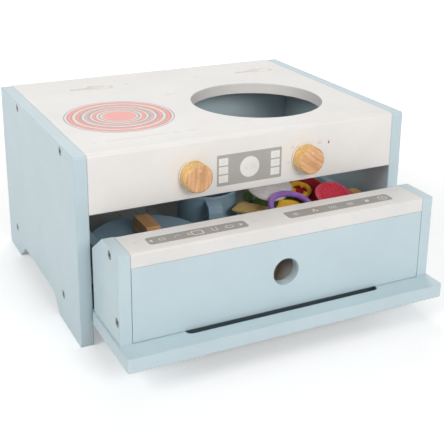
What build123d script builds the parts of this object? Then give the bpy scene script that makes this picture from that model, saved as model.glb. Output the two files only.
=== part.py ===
from build123d import *
from math import cos, radians, sin, tan
import os

# A table-top play kitchen: a white and blue cabinet with a printed hob, a sink cut-out, two wooden
# knobs and a front unit on a sliding tray that holds the pots and felt food.
# Millimetres, +X right, +Y to the rear, +Z up. The origin is under the middle of the whole thing.

# Cabinet
overall_width = 400.0
overall_height = 214.0
cabinet_depth = 308.0
side_thickness = 14.0
side_corner = 3.0
worktop_thickness = 14.0
fascia_height = 64.0
fascia_thickness = 14.0
fascia_edge_round = 3.0
bottom_thickness = 15.0
floor_clearance = 28.0
back_thickness = 12.0
back_inset = 48.0
board_seam = 0.2

# Foot arch in each side panel
front_foot_depth = 80.0
rear_foot_depth = 52.0
arch_height = 21.0
arch_front_slope = 20.0
arch_rear_slope = 28.0
arch_corner = 8.0

# Worktop cut-outs
sink_radius = 80.3
sink_x = 70.0
sink_from_front = 120.6
sink_edge_chamfer = 0.6
keyhole_depth = 5.0
keyhole_head_length = 34.0
keyhole_head_width = 18.0
keyhole_neck_length = 22.0
keyhole_neck_width = 6.0
keyhole_from_rear = 55.0
keyhole_head_x = (-86.0, 147.0)

# Front unit
front_unit_gap = 5.0
front_unit_depth = 78.0
front_unit_height = 139.0
front_unit_side_clearance = 0.3
cheek_thickness = 13.0
cheek_flat_depth = 46.0
cheek_slope_drop = 23.0
cheek_corner = 2.0
ledge_thickness = 15.0
front_panel_thickness = 13.0
panel_joint = 0.5
base_lip_reach = 27.0
base_overhang = 2.0
base_corner = 3.0
finger_hole_radius = 15.0
finger_hole_height = 85.0
finger_hole_chamfer = 0.8
slot_length = 232.0
slot_width = 14.0
slot_depth = 8.0
slot_corner = 6.5
slot_reach = 7.0
cheek_screw_above_base = 23.4

# Sliding tray behind the front unit
tray_clearance = 0.4
tray_wall_thickness = 10.0
tray_wall_height = 56.5
tray_rear_gap = 6.0
tray_floor_thickness = 4.0
tray_floor_lift = 2.5
tray_floor_groove = 4.0
tray_end_stop = 5.4
tray_hole_radius = 3.5
tray_hole_places = ((-78.0, 15.0), (-41.0, 17.0))
wall_screw_shares = (0.3, 0.8)

# Runners on the side panels, and the grooves they fill
runner_height = 8.0
runner_length = 80.0
runner_from_front = 6.0
runner_above_tray = 26.0
groove_depth = 5.0
runner_clearance = 0.3
runner_screw_shares = (0.2, 0.8)

# Knobs
knob_radius = 15.75
knob_depth = 16.0
knob_edge_round = 2.5
knob_rear_round = 0.8
knob_x = 69.0
knob_below_top = 37.7
bolt_radius = 3.0
bolt_in_knob = 11.0
bolt_running_gap = 0.07
nut_width = 10.0
nut_height = 5.0
washer_radius = 7.0
washer_thickness = 1.0
turning_gap = 0.3

# Screws and dowels
screw_head_radius = 5.0
screw_head_height = 2.5
screw_shank_radius = 2.4
screw_length = 46.0
screw_socket_width = 4.0
screw_socket_depth = 1.5
small_head_radius = 3.2
small_head_height = 1.8
small_shank_radius = 1.6
small_screw_length = 22.0
small_socket_width = 2.0
small_socket_depth = 0.8
screw_gap = 0.05
dowel_radius = 4.0
dowel_length = 30.0
dowel_in_side = 8.0
fascia_dowel_shares = (0.25, 0.5)
panel_screw_from_front_top = 46.0
panel_screw_from_front_bottom = 60.0
panel_screw_from_rear_top = 83.0
panel_screw_from_rear_bottom = 42.0

# Pots
stack_gap = 0.3
lid_wall_gap = 1.6
pan_wall_gap = 7.7
pot_place_share = 0.43
pot_tip_room = 63.3
pot_radius = 37.5
pot_height = 49.5
pot_wall = 5.0
pot_bottom = 6.0
pot_rim_round = 2.0
pot_handle_width = 17.0
pot_handle_length = 28.0
pot_handle_height = 20.0
pot_handle_drop = 3.0
pot_handle_turn = -105.5
handle_chamfer = 5.0
handle_root = 6.0
casserole_from_front = 73.0
casserole_radius = 61.0
casserole_height = 24.0
casserole_handle_length = 20.0
casserole_handle_height = 12.0
casserole_handle_drop = 1.0
casserole_handle_turns = (90, -90)
lid_overhang = 5.5
lid_thickness = 6.0
lid_plug_depth = 4.0
lid_plug_gap = 0.6
lid_handle_width = 17.0
lid_handle_length = 52.0
lid_handle_height = 20.0
lid_handle_chamfer = 7.0
pan_from_front = 75.0
pan_radius = 60.0
pan_height = 28.0
pan_handle_width = 16.0
pan_handle_height = 12.0
pan_handle_length = 88.0
pan_handle_drop = 9.0
pan_handle_turn = -129.8

# Felt food, piled in the pan: heights of the layers and places from the pan's middle
toast_clearance = 6.8
toast_thickness = 12.0
toast_corner = 10.0
lettuce_radius = 54.0
lettuce_thickness = 3.0
slice_thickness = 4.0
pile_lean = 22.0
pile_inset = 0.8
egg_length, egg_width = 61.0, 50.0
yolk_radius = 8.0
yolk_height = 3.0
yolk_sunk = 1.0
yolk_round = 2.0
yolk_place = (5.0, 16.0)
cheese_length, cheese_width = 44.0, 31.0
cheese_corner = 5.0
cheese_turn = -50.0
beet_radius = 26.0
pepper_strip_radius = 18.5
onion_radius = 29.5
onion_band = 7.0
onion_thickness = 6.5
pepper_radius = 15.5
pepper_band = 7.0
pepper_thickness = 5.5
tomato_radius = 24.0
tomato_tilt = 24.0
tomato_drop = 8.0
tomato_past_wall_face = 0.4
tomato_before_pan = -31.0
corn_length, corn_width = 22.0, 12.0
lettuce_place = (0.0, 0.0)
egg_place = (-20.8, 14.0)
cheese_place = (-48.5, 8.0)
beet_wall_gap = 9.7
beet_behind_pan = 14.4
onion_place = (-15.0, -30.0)
pepper_strip_place = (-17.9, -31.5)
pepper_place = (19.3, 8.3)
corn_past_wall_face = 3.0
corn_before_pan = -29.0
leaf_place = (-38.0, 38.0)
leaf_length, leaf_width = 30.0, 14.0
leaf_turn = 60
felt_round_share = 0.3

# Places worked out from the sizes above
half_width = overall_width / 2
inner_half = half_width - side_thickness
total_depth = front_unit_gap + front_unit_depth + base_lip_reach + cabinet_depth
y_rear = total_depth / 2
y_front = y_rear - cabinet_depth
y_back = y_rear - back_inset - back_thickness
z_under_top = overall_height - worktop_thickness
z_fascia = overall_height - fascia_height
z_bottom = floor_clearance + bottom_thickness
y_unit_rear = y_front - front_unit_gap
y_unit_front = y_unit_rear - front_unit_depth
y_lip = y_unit_front - base_lip_reach
cheek_outer = inner_half - front_unit_side_clearance
cheek_inner = cheek_outer - cheek_thickness
y_panel_rear = y_unit_front + front_panel_thickness
z_ledge = front_unit_height - ledge_thickness
wall_outer = cheek_inner
wall_inner = wall_outer - tray_wall_thickness
z_tray = z_bottom + tray_clearance
z_wall_top = z_tray + tray_wall_height
y_tray_rear = y_back - tray_rear_gap
y_tray_wall = y_tray_rear - tray_wall_thickness
z_floor_low = z_tray + tray_floor_lift
z_floor = z_floor_low + tray_floor_thickness
z_runner = z_tray + runner_above_tray
y_runner = y_front + runner_from_front
y_runner_end = y_runner + runner_length
y_groove = y_runner - front_unit_gap - 2 * runner_clearance
y_groove_end = y_tray_rear - tray_end_stop
runner_tip = wall_outer - groove_depth + runner_clearance
z_knob = overall_height - knob_below_top
lid_radius = casserole_radius + lid_overhang
casserole_x = lid_radius + lid_wall_gap - wall_inner
pan_x = wall_inner - pan_wall_gap - pan_radius
beet_place = (wall_inner - beet_wall_gap - beet_radius - pan_x, beet_behind_pan)
tomato_place = (wall_inner + tomato_past_wall_face - tomato_radius - pan_x, tomato_before_pan)
corn_place = (wall_inner + corn_past_wall_face + corn_width / 2 - pan_x, corn_before_pan)
toast_reach = pan_radius - pot_wall - toast_clearance
toast_size = (toast_reach - toast_corner) * 2 ** 0.5 + 2 * toast_corner

# The pot's handle reaches forward between lid and pan, to where the two are pot_tip_room apart
row_length = pan_x - casserole_x
touching = row_length - pot_tip_room
lid_part = (touching + (lid_radius ** 2 - pan_radius ** 2) / touching) / 2
tip_behind_row = max(lid_radius ** 2 - lid_part ** 2, 0) ** 0.5
pot_handle_forward = -(pot_radius + pot_handle_length) * sin(radians(pot_handle_turn))
pot_x = pan_x - pot_place_share * row_length
pot_from_front = pan_from_front + tip_behind_row + pot_handle_forward

# How far a cutter runs past the face that it goes through, and how near counts as equal
past = 1.0
tiny = 0.01


def block(x0, x1, y0, y1, z0, z1):
    """A board or cutter between two corners."""
    middle = ((x0 + x1) / 2, (y0 + y1) / 2, (z0 + z1) / 2)
    return Pos(*middle) * Box(abs(x1 - x0), abs(y1 - y0), abs(z1 - z0))


def upright(radius, x, y, z0, z1):
    """A round post along Z."""
    return Pos(x, y, (z0 + z1) / 2) * Cylinder(radius, z1 - z0)


def along_x(radius, x0, x1, y, z):
    """A round rod along X."""
    return Pos((x0 + x1) / 2, y, z) * Rot(0, 90, 0) * Cylinder(radius, abs(x1 - x0))


def along_y(radius, y0, y1, x, z):
    """A round rod along Y."""
    return Pos(x, (y0 + y1) / 2, z) * Rot(90, 0, 0) * Cylinder(radius, abs(y1 - y0))


def mirrored(shape):
    """The same piece on the other side of the kitchen."""
    return mirror(shape, about=Plane.YZ)


def screw(head_radius, head_height, shank_radius, length, socket_width, socket_depth):
    """A flat-headed hex socket screw: its head's top lies at the origin and its shank runs along -Z."""
    head = Pos(0, 0, -head_height / 2) * Cylinder(head_radius, head_height)
    shank = Pos(0, 0, -(head_height + length) / 2) * Cylinder(shank_radius, length - head_height)
    socket = extrude(RegularPolygon(socket_width / 2, 6, major_radius=False), -socket_depth)
    return head + shank - socket


def screw_hole(head_radius, head_height, shank_radius, length):
    """The room that such a screw takes: a counterbore and a pilot hole, each a little wide."""
    depth = length + screw_gap
    head = Pos(0, 0, -head_height / 2) * Cylinder(head_radius + screw_gap, head_height)
    return head + Pos(0, 0, -depth / 2) * Cylinder(shank_radius + screw_gap, depth)


def board_screw():
    return screw(screw_head_radius, screw_head_height, screw_shank_radius, screw_length,
                 screw_socket_width, screw_socket_depth)


def board_screw_hole():
    return screw_hole(screw_head_radius, screw_head_height, screw_shank_radius, screw_length)


def small_screw():
    return screw(small_head_radius, small_head_height, small_shank_radius, small_screw_length,
                 small_socket_width, small_socket_depth)


def small_screw_hole():
    return screw_hole(small_head_radius, small_head_height, small_shank_radius, small_screw_length)


# Turns that point a screw's shank, made along -Z, the way it is driven
INTO_PLUS_X = Rot(0, -90, 0)
INTO_MINUS_X = Rot(0, 90, 0)
INTO_PLUS_Z = Rot(180, 0, 0)


def spread(places, turn, shape):
    """One copy of a shape at each place, all turned alike."""
    return [Pos(*place) * turn * shape for place in places]


def less(solid, cutters):
    """A solid with each cutter taken away in turn."""
    for cutter in cutters:
        solid = solid - cutter
    return solid


# Where the screws and dowels go, on the left side; the right side is its mirror
z_worktop_screw = overall_height - worktop_thickness / 2
z_bottom_screw = floor_clearance + bottom_thickness / 2
panel_screw_places = [
    (-half_width, y_front + panel_screw_from_front_top, z_worktop_screw),
    (-half_width, y_rear - panel_screw_from_rear_top, z_worktop_screw),
    (-half_width, y_front + panel_screw_from_front_bottom, z_bottom_screw),
    (-half_width, y_rear - panel_screw_from_rear_bottom, z_bottom_screw),
]
fascia_dowel_places = [(y_front + fascia_thickness / 2, z_fascia + fascia_height * share)
                       for share in fascia_dowel_shares]
back_dowel_places = [(y_back + back_thickness / 2, z)
                     for z in (z_bottom + worktop_thickness, z_under_top - worktop_thickness)]
runner_screw_places = [(-runner_tip, y_runner + runner_length * share, z_runner + runner_height / 2)
                       for share in runner_screw_shares]
cheek_screw_places = [
    (-cheek_outer, y_unit_front + cheek_flat_depth / 2, z_ledge + ledge_thickness / 2),
    (-cheek_outer, y_unit_front + front_panel_thickness / 2, z_bottom + cheek_screw_above_base),
]
base_screw_places = [(-(cheek_inner + cheek_thickness / 2), y, floor_clearance)
                     for y in (y_unit_front + front_panel_thickness, y_unit_rear - front_panel_thickness)]
z_wall_screws = [z_tray + tray_wall_height * share for share in wall_screw_shares]
wall_screw_places = [(-wall_inner, (y_panel_rear + y_unit_rear) / 2, z) for z in z_wall_screws]
rear_wall_screw_places = [(-wall_outer, y_tray_wall + tray_wall_thickness / 2, z) for z in z_wall_screws]


def dowels(places):
    """The dowels of both ends of a cross board, partly in the board and partly in the side panels."""
    start = -inner_half - dowel_in_side
    left = [along_x(dowel_radius, start, start + dowel_length, y, z) for y, z in places]
    return left + [mirrored(rod) for rod in left]


def dowel_holes(places):
    start = -inner_half - dowel_in_side
    left = [along_x(dowel_radius + screw_gap, start - screw_gap, start + dowel_length + screw_gap, y, z)
            for y, z in places]
    return left + [mirrored(rod) for rod in left]


def side_panel():
    """The left side panel, with its arch, screw holes and the dowel holes of the cross boards."""
    foot_front = y_front + front_foot_depth
    foot_rear = y_rear - rear_foot_depth
    with BuildSketch(Plane.YZ) as outline:
        with BuildLine():
            Polyline((y_front, 0), (foot_front, 0), (foot_front + arch_front_slope, arch_height),
                     (foot_rear - arch_rear_slope, arch_height), (foot_rear, 0), (y_rear, 0),
                     (y_rear, overall_height), (y_front, overall_height), close=True)
        make_face()
        top = outline.vertices().group_by(Axis.Y)
        fillet(top[0] + top[-1], side_corner)
        arch = [v for v in outline.vertices() if abs(v.Z - arch_height) < tiny]
        fillet(arch, arch_corner)
    panel = Pos(-half_width, 0, 0) * extrude(outline.sketch, side_thickness)
    screws = spread(panel_screw_places, INTO_PLUS_X, board_screw_hole())
    runners = spread(runner_screw_places, INTO_MINUS_X, small_screw_hole())
    return less(panel, screws + runners + dowel_holes(fascia_dowel_places + back_dowel_places))


def side_screw_holes():
    left = spread(panel_screw_places, INTO_PLUS_X, board_screw_hole())
    return left + [mirrored(hole) for hole in left]


def keyhole_cutter(head_x):
    """A shallow keyhole slot: a long rounded head with a narrow neck on its left."""
    y = y_rear - keyhole_from_rear
    z = overall_height - keyhole_depth / 2
    head = extrude(SlotOverall(keyhole_head_length, keyhole_head_width), keyhole_depth / 2, both=True)
    neck_length = keyhole_neck_length + keyhole_head_length / 2
    neck = extrude(SlotOverall(neck_length, keyhole_neck_width), keyhole_depth / 2, both=True)
    neck_x = head_x - keyhole_neck_length / 2 - keyhole_head_length / 4
    return Pos(head_x, y, z) * head + Pos(neck_x, y, z) * neck


def worktop():
    """The white top board behind the fascia, with the sink cut-out and two keyhole slots."""
    board = block(-inner_half + board_seam, inner_half - board_seam, y_front + fascia_thickness, y_rear,
                  z_under_top, overall_height)
    sink = upright(sink_radius, sink_x, y_front + sink_from_front, z_under_top - past, overall_height + past)
    board = less(board, [sink] + side_screw_holes() + [keyhole_cutter(x) for x in keyhole_head_x])
    rims = board.edges().filter_by(GeomType.CIRCLE).group_by(Axis.Z)[-1]
    return chamfer(rims.sort_by(Edge.length)[-1:], sink_edge_chamfer)


def fascia():
    """The white front board with the knobs, its top front edge rounded over."""
    board = block(-inner_half + board_seam, inner_half - board_seam, y_front, y_front + fascia_thickness,
                  z_fascia, overall_height)
    edge = board.edges().filter_by(Axis.X).group_by(Axis.Z)[-1].sort_by(Axis.Y)[0]
    board = fillet(edge, fascia_edge_round)
    start, end = y_front - past, y_front + fascia_thickness + past
    bores = [along_y(bolt_radius + bolt_running_gap, start, end, x, z_knob) for x in (-knob_x, knob_x)]
    return less(board, bores + dowel_holes(fascia_dowel_places))


def bottom_board():
    """The blue cabinet bottom, between the side panels."""
    board = block(-inner_half + board_seam, inner_half - board_seam, y_front, y_rear - board_seam,
                  floor_clearance, z_bottom)
    return less(board, side_screw_holes())


def back_panel():
    """The inset blue back, standing on the bottom board under the worktop."""
    board = block(-inner_half + board_seam, inner_half - board_seam, y_back, y_back + back_thickness,
                  z_bottom, z_under_top)
    return less(board, dowel_holes(back_dowel_places))


def runner():
    """The left hardwood runner that carries the tray by a groove in its wall."""
    strip = block(-inner_half, -runner_tip, y_runner, y_runner_end, z_runner, z_runner + runner_height)
    return less(strip, spread(runner_screw_places, INTO_MINUS_X, small_screw_hole()))


def cheek():
    """The left side of the front unit: upright front, flat top, then a slope down to the rear."""
    with BuildSketch(Plane.YZ) as outline:
        with BuildLine():
            Polyline((y_unit_front, z_bottom), (y_unit_rear, z_bottom),
                     (y_unit_rear, front_unit_height - cheek_slope_drop),
                     (y_unit_front + cheek_flat_depth, front_unit_height),
                     (y_unit_front, front_unit_height), close=True)
        make_face()
        fillet([v for v in outline.vertices() if v.Z > z_bottom + tiny], cheek_corner)
    board = Pos(-cheek_outer, 0, 0) * extrude(outline.sketch, cheek_thickness)
    cutters = spread(cheek_screw_places, INTO_PLUS_X, board_screw_hole())
    cutters += spread(base_screw_places, INTO_PLUS_Z, small_screw_hole())
    cutters += spread(wall_screw_places, INTO_MINUS_X, small_screw_hole())
    return less(board, cutters)


def cheek_screw_holes():
    left = spread(cheek_screw_places, INTO_PLUS_X, board_screw_hole())
    return left + [mirrored(hole) for hole in left]


def control_ledge():
    """The white board on top of the front unit, which carries the printed controls."""
    board = block(-cheek_inner + board_seam, cheek_inner - board_seam, y_unit_front,
                  y_unit_front + cheek_flat_depth, z_ledge, front_unit_height)
    edges = board.edges().filter_by(Axis.X).group_by(Axis.Z)[-1]
    return less(fillet(edges, cheek_corner), cheek_screw_holes())


def front_panel():
    """The blue panel under the ledge, with a round finger hole through it."""
    board = block(-cheek_inner + panel_joint, cheek_inner - panel_joint, y_unit_front, y_panel_rear,
                  z_bottom + panel_joint, z_ledge - board_seam)
    hole = along_y(finger_hole_radius, y_unit_front - past, y_panel_rear + past, 0, finger_hole_height)
    board = less(board, [hole] + cheek_screw_holes())
    rims = board.edges().filter_by(GeomType.CIRCLE)
    return chamfer([edge for edge in rims if abs(edge.radius - finger_hole_radius) < tiny],
                   finger_hole_chamfer)


def front_base_board():
    """The board under the front unit, with a projecting lip and a long slot before the panel."""
    edge = cheek_outer + base_overhang
    board = block(-edge, edge, y_lip, y_unit_rear, floor_clearance, z_bottom)
    board = fillet(board.edges().filter_by(Axis.Z).group_by(Axis.Y)[0], base_corner)
    slot = extrude(RectangleRounded(slot_length, slot_width, slot_corner), -slot_depth)
    cutters = [Pos(0, y_unit_front - slot_reach + slot_width / 2, z_bottom) * slot]
    left = spread(base_screw_places, INTO_PLUS_Z, small_screw_hole())
    return less(board, cutters + left + [mirrored(hole) for hole in left])


def tray_wall():
    """The left tray wall, grooved outside for the runner and inside for the floor."""
    wall = block(-wall_outer, -wall_inner, y_panel_rear, y_tray_rear, z_tray, z_wall_top)
    runner_groove = block(-wall_outer - past, -wall_outer + groove_depth, y_groove, y_groove_end,
                          z_runner - runner_clearance, z_runner + runner_height + runner_clearance)
    cutters = [runner_groove, tray_floor_cutter()]
    cutters += spread(wall_screw_places, INTO_MINUS_X, small_screw_hole())
    cutters += spread(rear_wall_screw_places, INTO_PLUS_X, small_screw_hole())
    return less(wall, cutters)


def tray_floor_cutter():
    reach = wall_inner + tray_floor_groove
    return block(-reach, reach, y_panel_rear - past, y_tray_wall + tray_floor_groove, z_floor_low, z_floor)


def tray_rear_wall():
    """The tray's rear wall, between its side walls, grooved for the floor."""
    wall = block(-wall_inner, wall_inner, y_tray_wall, y_tray_rear, z_tray, z_wall_top)
    left = spread(rear_wall_screw_places, INTO_PLUS_X, small_screw_hole())
    return less(wall, [tray_floor_cutter()] + left + [mirrored(hole) for hole in left])


def tray_floor():
    """The thin tray floor, held in the grooves of three walls, with two small holes."""
    reach = wall_inner + tray_floor_groove
    board = block(-reach, reach, y_panel_rear, y_tray_wall + tray_floor_groove, z_floor_low, z_floor)
    holes = [upright(tray_hole_radius, x, y_tray_wall - ahead, z_floor_low - past, z_floor + past)
             for x, ahead in tray_hole_places]
    return less(board, holes)


def knob(x):
    """A round wooden knob with softened edges, bored from behind for its bolt."""
    y_back_face = y_front - turning_gap
    disc = along_y(knob_radius, y_back_face - knob_depth, y_back_face, x, z_knob)
    rims = disc.edges().filter_by(GeomType.CIRCLE).sort_by(Axis.Y)
    disc = fillet(rims[0], knob_edge_round)
    disc = fillet(disc.edges().filter_by(GeomType.CIRCLE).sort_by(Axis.Y)[-1], knob_rear_round)
    return disc - along_y(bolt_radius, y_back_face - bolt_in_knob, y_back_face + past, x, z_knob)


y_washer = y_front + fascia_thickness + turning_gap
y_nut_end = y_washer + washer_thickness + nut_height


def knob_bolt(x):
    """The steel bolt fixed in a knob, which turns in the fascia's bore."""
    start = y_front - turning_gap - bolt_in_knob
    return along_y(bolt_radius, start, y_nut_end + bolt_radius, x, z_knob)


def knob_nut(x):
    """A washer and nut behind the fascia, which keep the knob in place."""
    washer = along_y(washer_radius, y_washer, y_washer + washer_thickness, x, z_knob)
    hexagon = RegularPolygon(nut_width / 2, 6, major_radius=False)
    nut = Pos(x, y_washer + washer_thickness, z_knob) * Rot(-90, 0, 0) * extrude(hexagon, nut_height)
    return washer + nut - along_y(bolt_radius, y_washer - past, y_nut_end + past, x, z_knob)


def turned_pot(radius, height, wall, bottom, x, y):
    """A round pot on the tray floor, with a rounded rim."""
    z = z_floor + stack_gap
    body = upright(radius, x, y, z, z + height) - upright(radius - wall, x, y, z + bottom, z + height + past)
    rims = body.edges().filter_by(GeomType.CIRCLE).group_by(Axis.Z)
    return fillet(rims[-1], min(pot_rim_round, wall / 2 - tiny))


def pot_bar(length, width, height, radius):
    """A bar handle along +X, hollowed to fit a pot of this radius, its outer upper edge cut back."""
    bar = block(radius - handle_root, radius + length, -width / 2, width / 2, 0, height)
    tip = bar.edges().filter_by(Axis.Y).group_by(Axis.X)[-1].sort_by(Axis.Z)[-1:]
    return chamfer(tip, handle_chamfer) - upright(radius, 0, 0, -past, height + past)


def pot():
    return turned_pot(pot_radius, pot_height, pot_wall, pot_bottom, pot_x, y_front + pot_from_front)


def pot_handle():
    """The block handle on the pot's front."""
    bar = pot_bar(pot_handle_length, pot_handle_width, pot_handle_height, pot_radius)
    z = z_floor + stack_gap + pot_height - pot_handle_drop - pot_handle_height
    return Pos(pot_x, y_front + pot_from_front, z) * Rot(0, 0, pot_handle_turn) * bar


def casserole():
    return turned_pot(casserole_radius, casserole_height, pot_wall, pot_bottom, casserole_x,
                      y_front + casserole_from_front)


def casserole_handles():
    """Two small bars on the casserole, front and rear."""
    bar = pot_bar(casserole_handle_length, pot_handle_width, casserole_handle_height, casserole_radius)
    z = z_floor + stack_gap + casserole_height - casserole_handle_height - casserole_handle_drop
    place = Pos(casserole_x, y_front + casserole_from_front, z)
    return [place * Rot(0, 0, turn) * bar for turn in casserole_handle_turns]


z_lid = z_floor + stack_gap + casserole_height
z_lid_top = z_lid + lid_thickness


def casserole_lid():
    """A flat lid that overhangs the casserole, with a plug that keeps it centred."""
    y = y_front + casserole_from_front
    disc = upright(lid_radius, casserole_x, y, z_lid, z_lid_top)
    disc = fillet(disc.edges().filter_by(GeomType.CIRCLE).group_by(Axis.Z)[-1], pot_rim_round)
    plug_radius = casserole_radius - pot_wall - lid_plug_gap
    return disc + upright(plug_radius, casserole_x, y, z_lid - lid_plug_depth, z_lid)


def lid_handle():
    """A wooden bar on the lid with both upper ends cut back."""
    bar = Pos(0, 0, lid_handle_height / 2) * Box(lid_handle_width, lid_handle_length, lid_handle_height)
    tips = bar.edges().filter_by(Axis.X).group_by(Axis.Z)[-1]
    return Pos(casserole_x, y_front + casserole_from_front, z_lid_top) * chamfer(tips, lid_handle_chamfer)


def frying_pan():
    return turned_pot(pan_radius, pan_height, pot_wall, pot_bottom, pan_x, y_front + pan_from_front)


def pan_handle():
    """The pan's long wooden handle, which points at the finger hole."""
    bar = pot_bar(pan_handle_length, pan_handle_width, pan_handle_height, pan_radius)
    z = z_floor + stack_gap + pan_height - pan_handle_drop - pan_handle_height
    return Pos(pan_x, y_front + pan_from_front, z) * Rot(0, 0, pan_handle_turn) * bar


# Heights of the pile in the pan, from the lowest slice of toast to the tomato
z_toast = z_floor + stack_gap + pot_bottom + stack_gap
z_upper_toast = z_toast + toast_thickness + stack_gap
z_lettuce = z_upper_toast + toast_thickness + stack_gap
z_slices = z_lettuce + lettuce_thickness + stack_gap
z_upper_slices = z_slices + slice_thickness + stack_gap
z_tomato = z_wall_top - tomato_drop

# Layers of the pile that leans in the pan, each measured down from the onion ring's underside
under_egg = slice_thickness + stack_gap
under_pepper = under_egg + pepper_thickness + stack_gap
under_beet = under_pepper + slice_thickness + stack_gap


def in_pile(shape, place, z):
    """A flat piece of food put in the pile, its underside at a height."""
    return Pos(pan_x + place[0], y_front + pan_from_front + place[1], z) * shape


def in_leaning_pile(shape, place, under=0):
    """A piece of the pile whose rear edge is raised, so far under the onion ring's layer.

    That layer comes down to the other slices at the lettuce's front rim.
    """
    behind_rim = place[1] + lettuce_radius - pile_inset
    z = z_slices + behind_rim * tan(radians(pile_lean)) - under / cos(radians(pile_lean))
    return in_pile(Rot(pile_lean, 0, 0) * shape, place, z)


def tomato_slice():
    """The tomato, which leans on the tray's wall with its front edge low."""
    slab = Rot(tomato_tilt, 0, 0) * round_slice(tomato_radius, slice_thickness)
    return in_pile(slab, tomato_place, z_tomato + tomato_radius * sin(radians(tomato_tilt)))


def toast(z):
    slab = extrude(RectangleRounded(toast_size, toast_size, toast_corner), toast_thickness)
    return in_pile(slab, (0, 0), z)


def round_slice(radius, thickness):
    """A felt disc with softened rims."""
    disc = Pos(0, 0, thickness / 2) * Cylinder(radius, thickness)
    return fillet(disc.edges().filter_by(GeomType.CIRCLE), thickness * felt_round_share)


def ring_slice(radius, band, thickness):
    """A felt ring with softened outer rims."""
    ring = Pos(0, 0, thickness / 2) * (Cylinder(radius, thickness) - Cylinder(radius - band, thickness))
    return fillet(ring.edges().filter_by(GeomType.CIRCLE), min(thickness, band) * felt_round_share)


def fried_egg():
    """A flat oval white with a small domed yolk near its rear edge."""
    white = extrude(Ellipse(egg_length / 2, egg_width / 2), slice_thickness)
    yolk = upright(yolk_radius, *yolk_place, slice_thickness - yolk_sunk, slice_thickness + yolk_height)
    rim = yolk.edges().filter_by(GeomType.CIRCLE).group_by(Axis.Z)[-1]
    return white + fillet(rim, yolk_round)


def felt_food():
    """Each piece of felt food under its node's name."""
    square = Rot(0, 0, cheese_turn) * RectangleRounded(cheese_length, cheese_width, cheese_corner)
    corn = extrude(Rot(0, 0, 90) * SlotOverall(corn_length, corn_width), slice_thickness)
    leaf = extrude(Rot(0, 0, leaf_turn) * Ellipse(leaf_length / 2, leaf_width / 2), slice_thickness)
    return {
        "felt_toast_lower": toast(z_toast),
        "felt_toast_upper": toast(z_upper_toast),
        "felt_lettuce": in_pile(round_slice(lettuce_radius, lettuce_thickness), lettuce_place, z_lettuce),
        "felt_egg": in_leaning_pile(fried_egg(), egg_place, under_egg),
        "felt_cheese": in_pile(extrude(square, slice_thickness), cheese_place, z_slices),
        "felt_leaf": in_pile(leaf, leaf_place, z_upper_slices),
        "felt_beet": in_leaning_pile(round_slice(beet_radius, slice_thickness), beet_place, under_beet),
        "felt_pepper_strip": in_leaning_pile(round_slice(pepper_strip_radius, pepper_thickness),
                                             pepper_strip_place),
        "felt_onion_ring": in_leaning_pile(ring_slice(onion_radius, onion_band, onion_thickness),
                                           onion_place),
        "felt_pepper_ring": in_leaning_pile(ring_slice(pepper_radius, pepper_band, pepper_thickness),
                                            pepper_place, under_pepper),
        "felt_tomato": tomato_slice(),
        "felt_corn": in_pile(corn, corn_place, z_wall_top + stack_gap),
    }


def both_sides(name, left):
    """A left piece and its mirror image, under their two names."""
    return {f"left_{name}": left, f"right_{name}": mirrored(left)}


def screws_of(places, turn, shape):
    """The screws of one side as separate solids."""
    return Compound(spread(places, turn, shape))


def pieces():
    """Every piece of the kitchen under its node's name."""
    made = {}
    made.update(both_sides("side_panel", side_panel()))
    made["worktop"] = worktop()
    made["fascia"] = fascia()
    made["bottom_board"] = bottom_board()
    made["back_panel"] = back_panel()
    made.update(both_sides("runner", runner()))
    made.update(both_sides("panel_screws", screws_of(panel_screw_places, INTO_PLUS_X, board_screw())))
    made.update(both_sides("runner_screws", screws_of(runner_screw_places, INTO_MINUS_X, small_screw())))
    made["board_dowels"] = Compound(dowels(fascia_dowel_places + back_dowel_places))
    made.update(both_sides("cheek", cheek()))
    made["control_ledge"] = control_ledge()
    made["front_panel"] = front_panel()
    made["front_base_board"] = front_base_board()
    made.update(both_sides("tray_wall", tray_wall()))
    made["tray_rear_wall"] = tray_rear_wall()
    made["tray_floor"] = tray_floor()
    made.update(both_sides("cheek_screws", screws_of(cheek_screw_places, INTO_PLUS_X, board_screw())))
    made.update(both_sides("base_screws", screws_of(base_screw_places, INTO_PLUS_Z, small_screw())))
    made.update(both_sides("wall_screws", Compound(
        spread(wall_screw_places, INTO_MINUS_X, small_screw())
        + spread(rear_wall_screw_places, INTO_PLUS_X, small_screw()))))
    for side, x in (("left", -knob_x), ("right", knob_x)):
        made[f"{side}_knob"] = knob(x)
        made[f"{side}_knob_bolt"] = knob_bolt(x)
        made[f"{side}_knob_nut"] = knob_nut(x)
    made["pot"] = pot()
    made["pot_handle"] = pot_handle()
    made["casserole"] = casserole()
    made["casserole_handles"] = Compound(casserole_handles())
    made["casserole_lid"] = casserole_lid()
    made["lid_handle"] = lid_handle()
    made["frying_pan"] = frying_pan()
    made["pan_handle"] = pan_handle()
    made.update(felt_food())
    return made


os.makedirs("parts", exist_ok=True)
for name, piece in pieces().items():
    export_step(piece, f"parts/{name}.step")
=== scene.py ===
import math
import random

import bmesh
import bpy
from mathutils import Matrix, Vector


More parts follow.
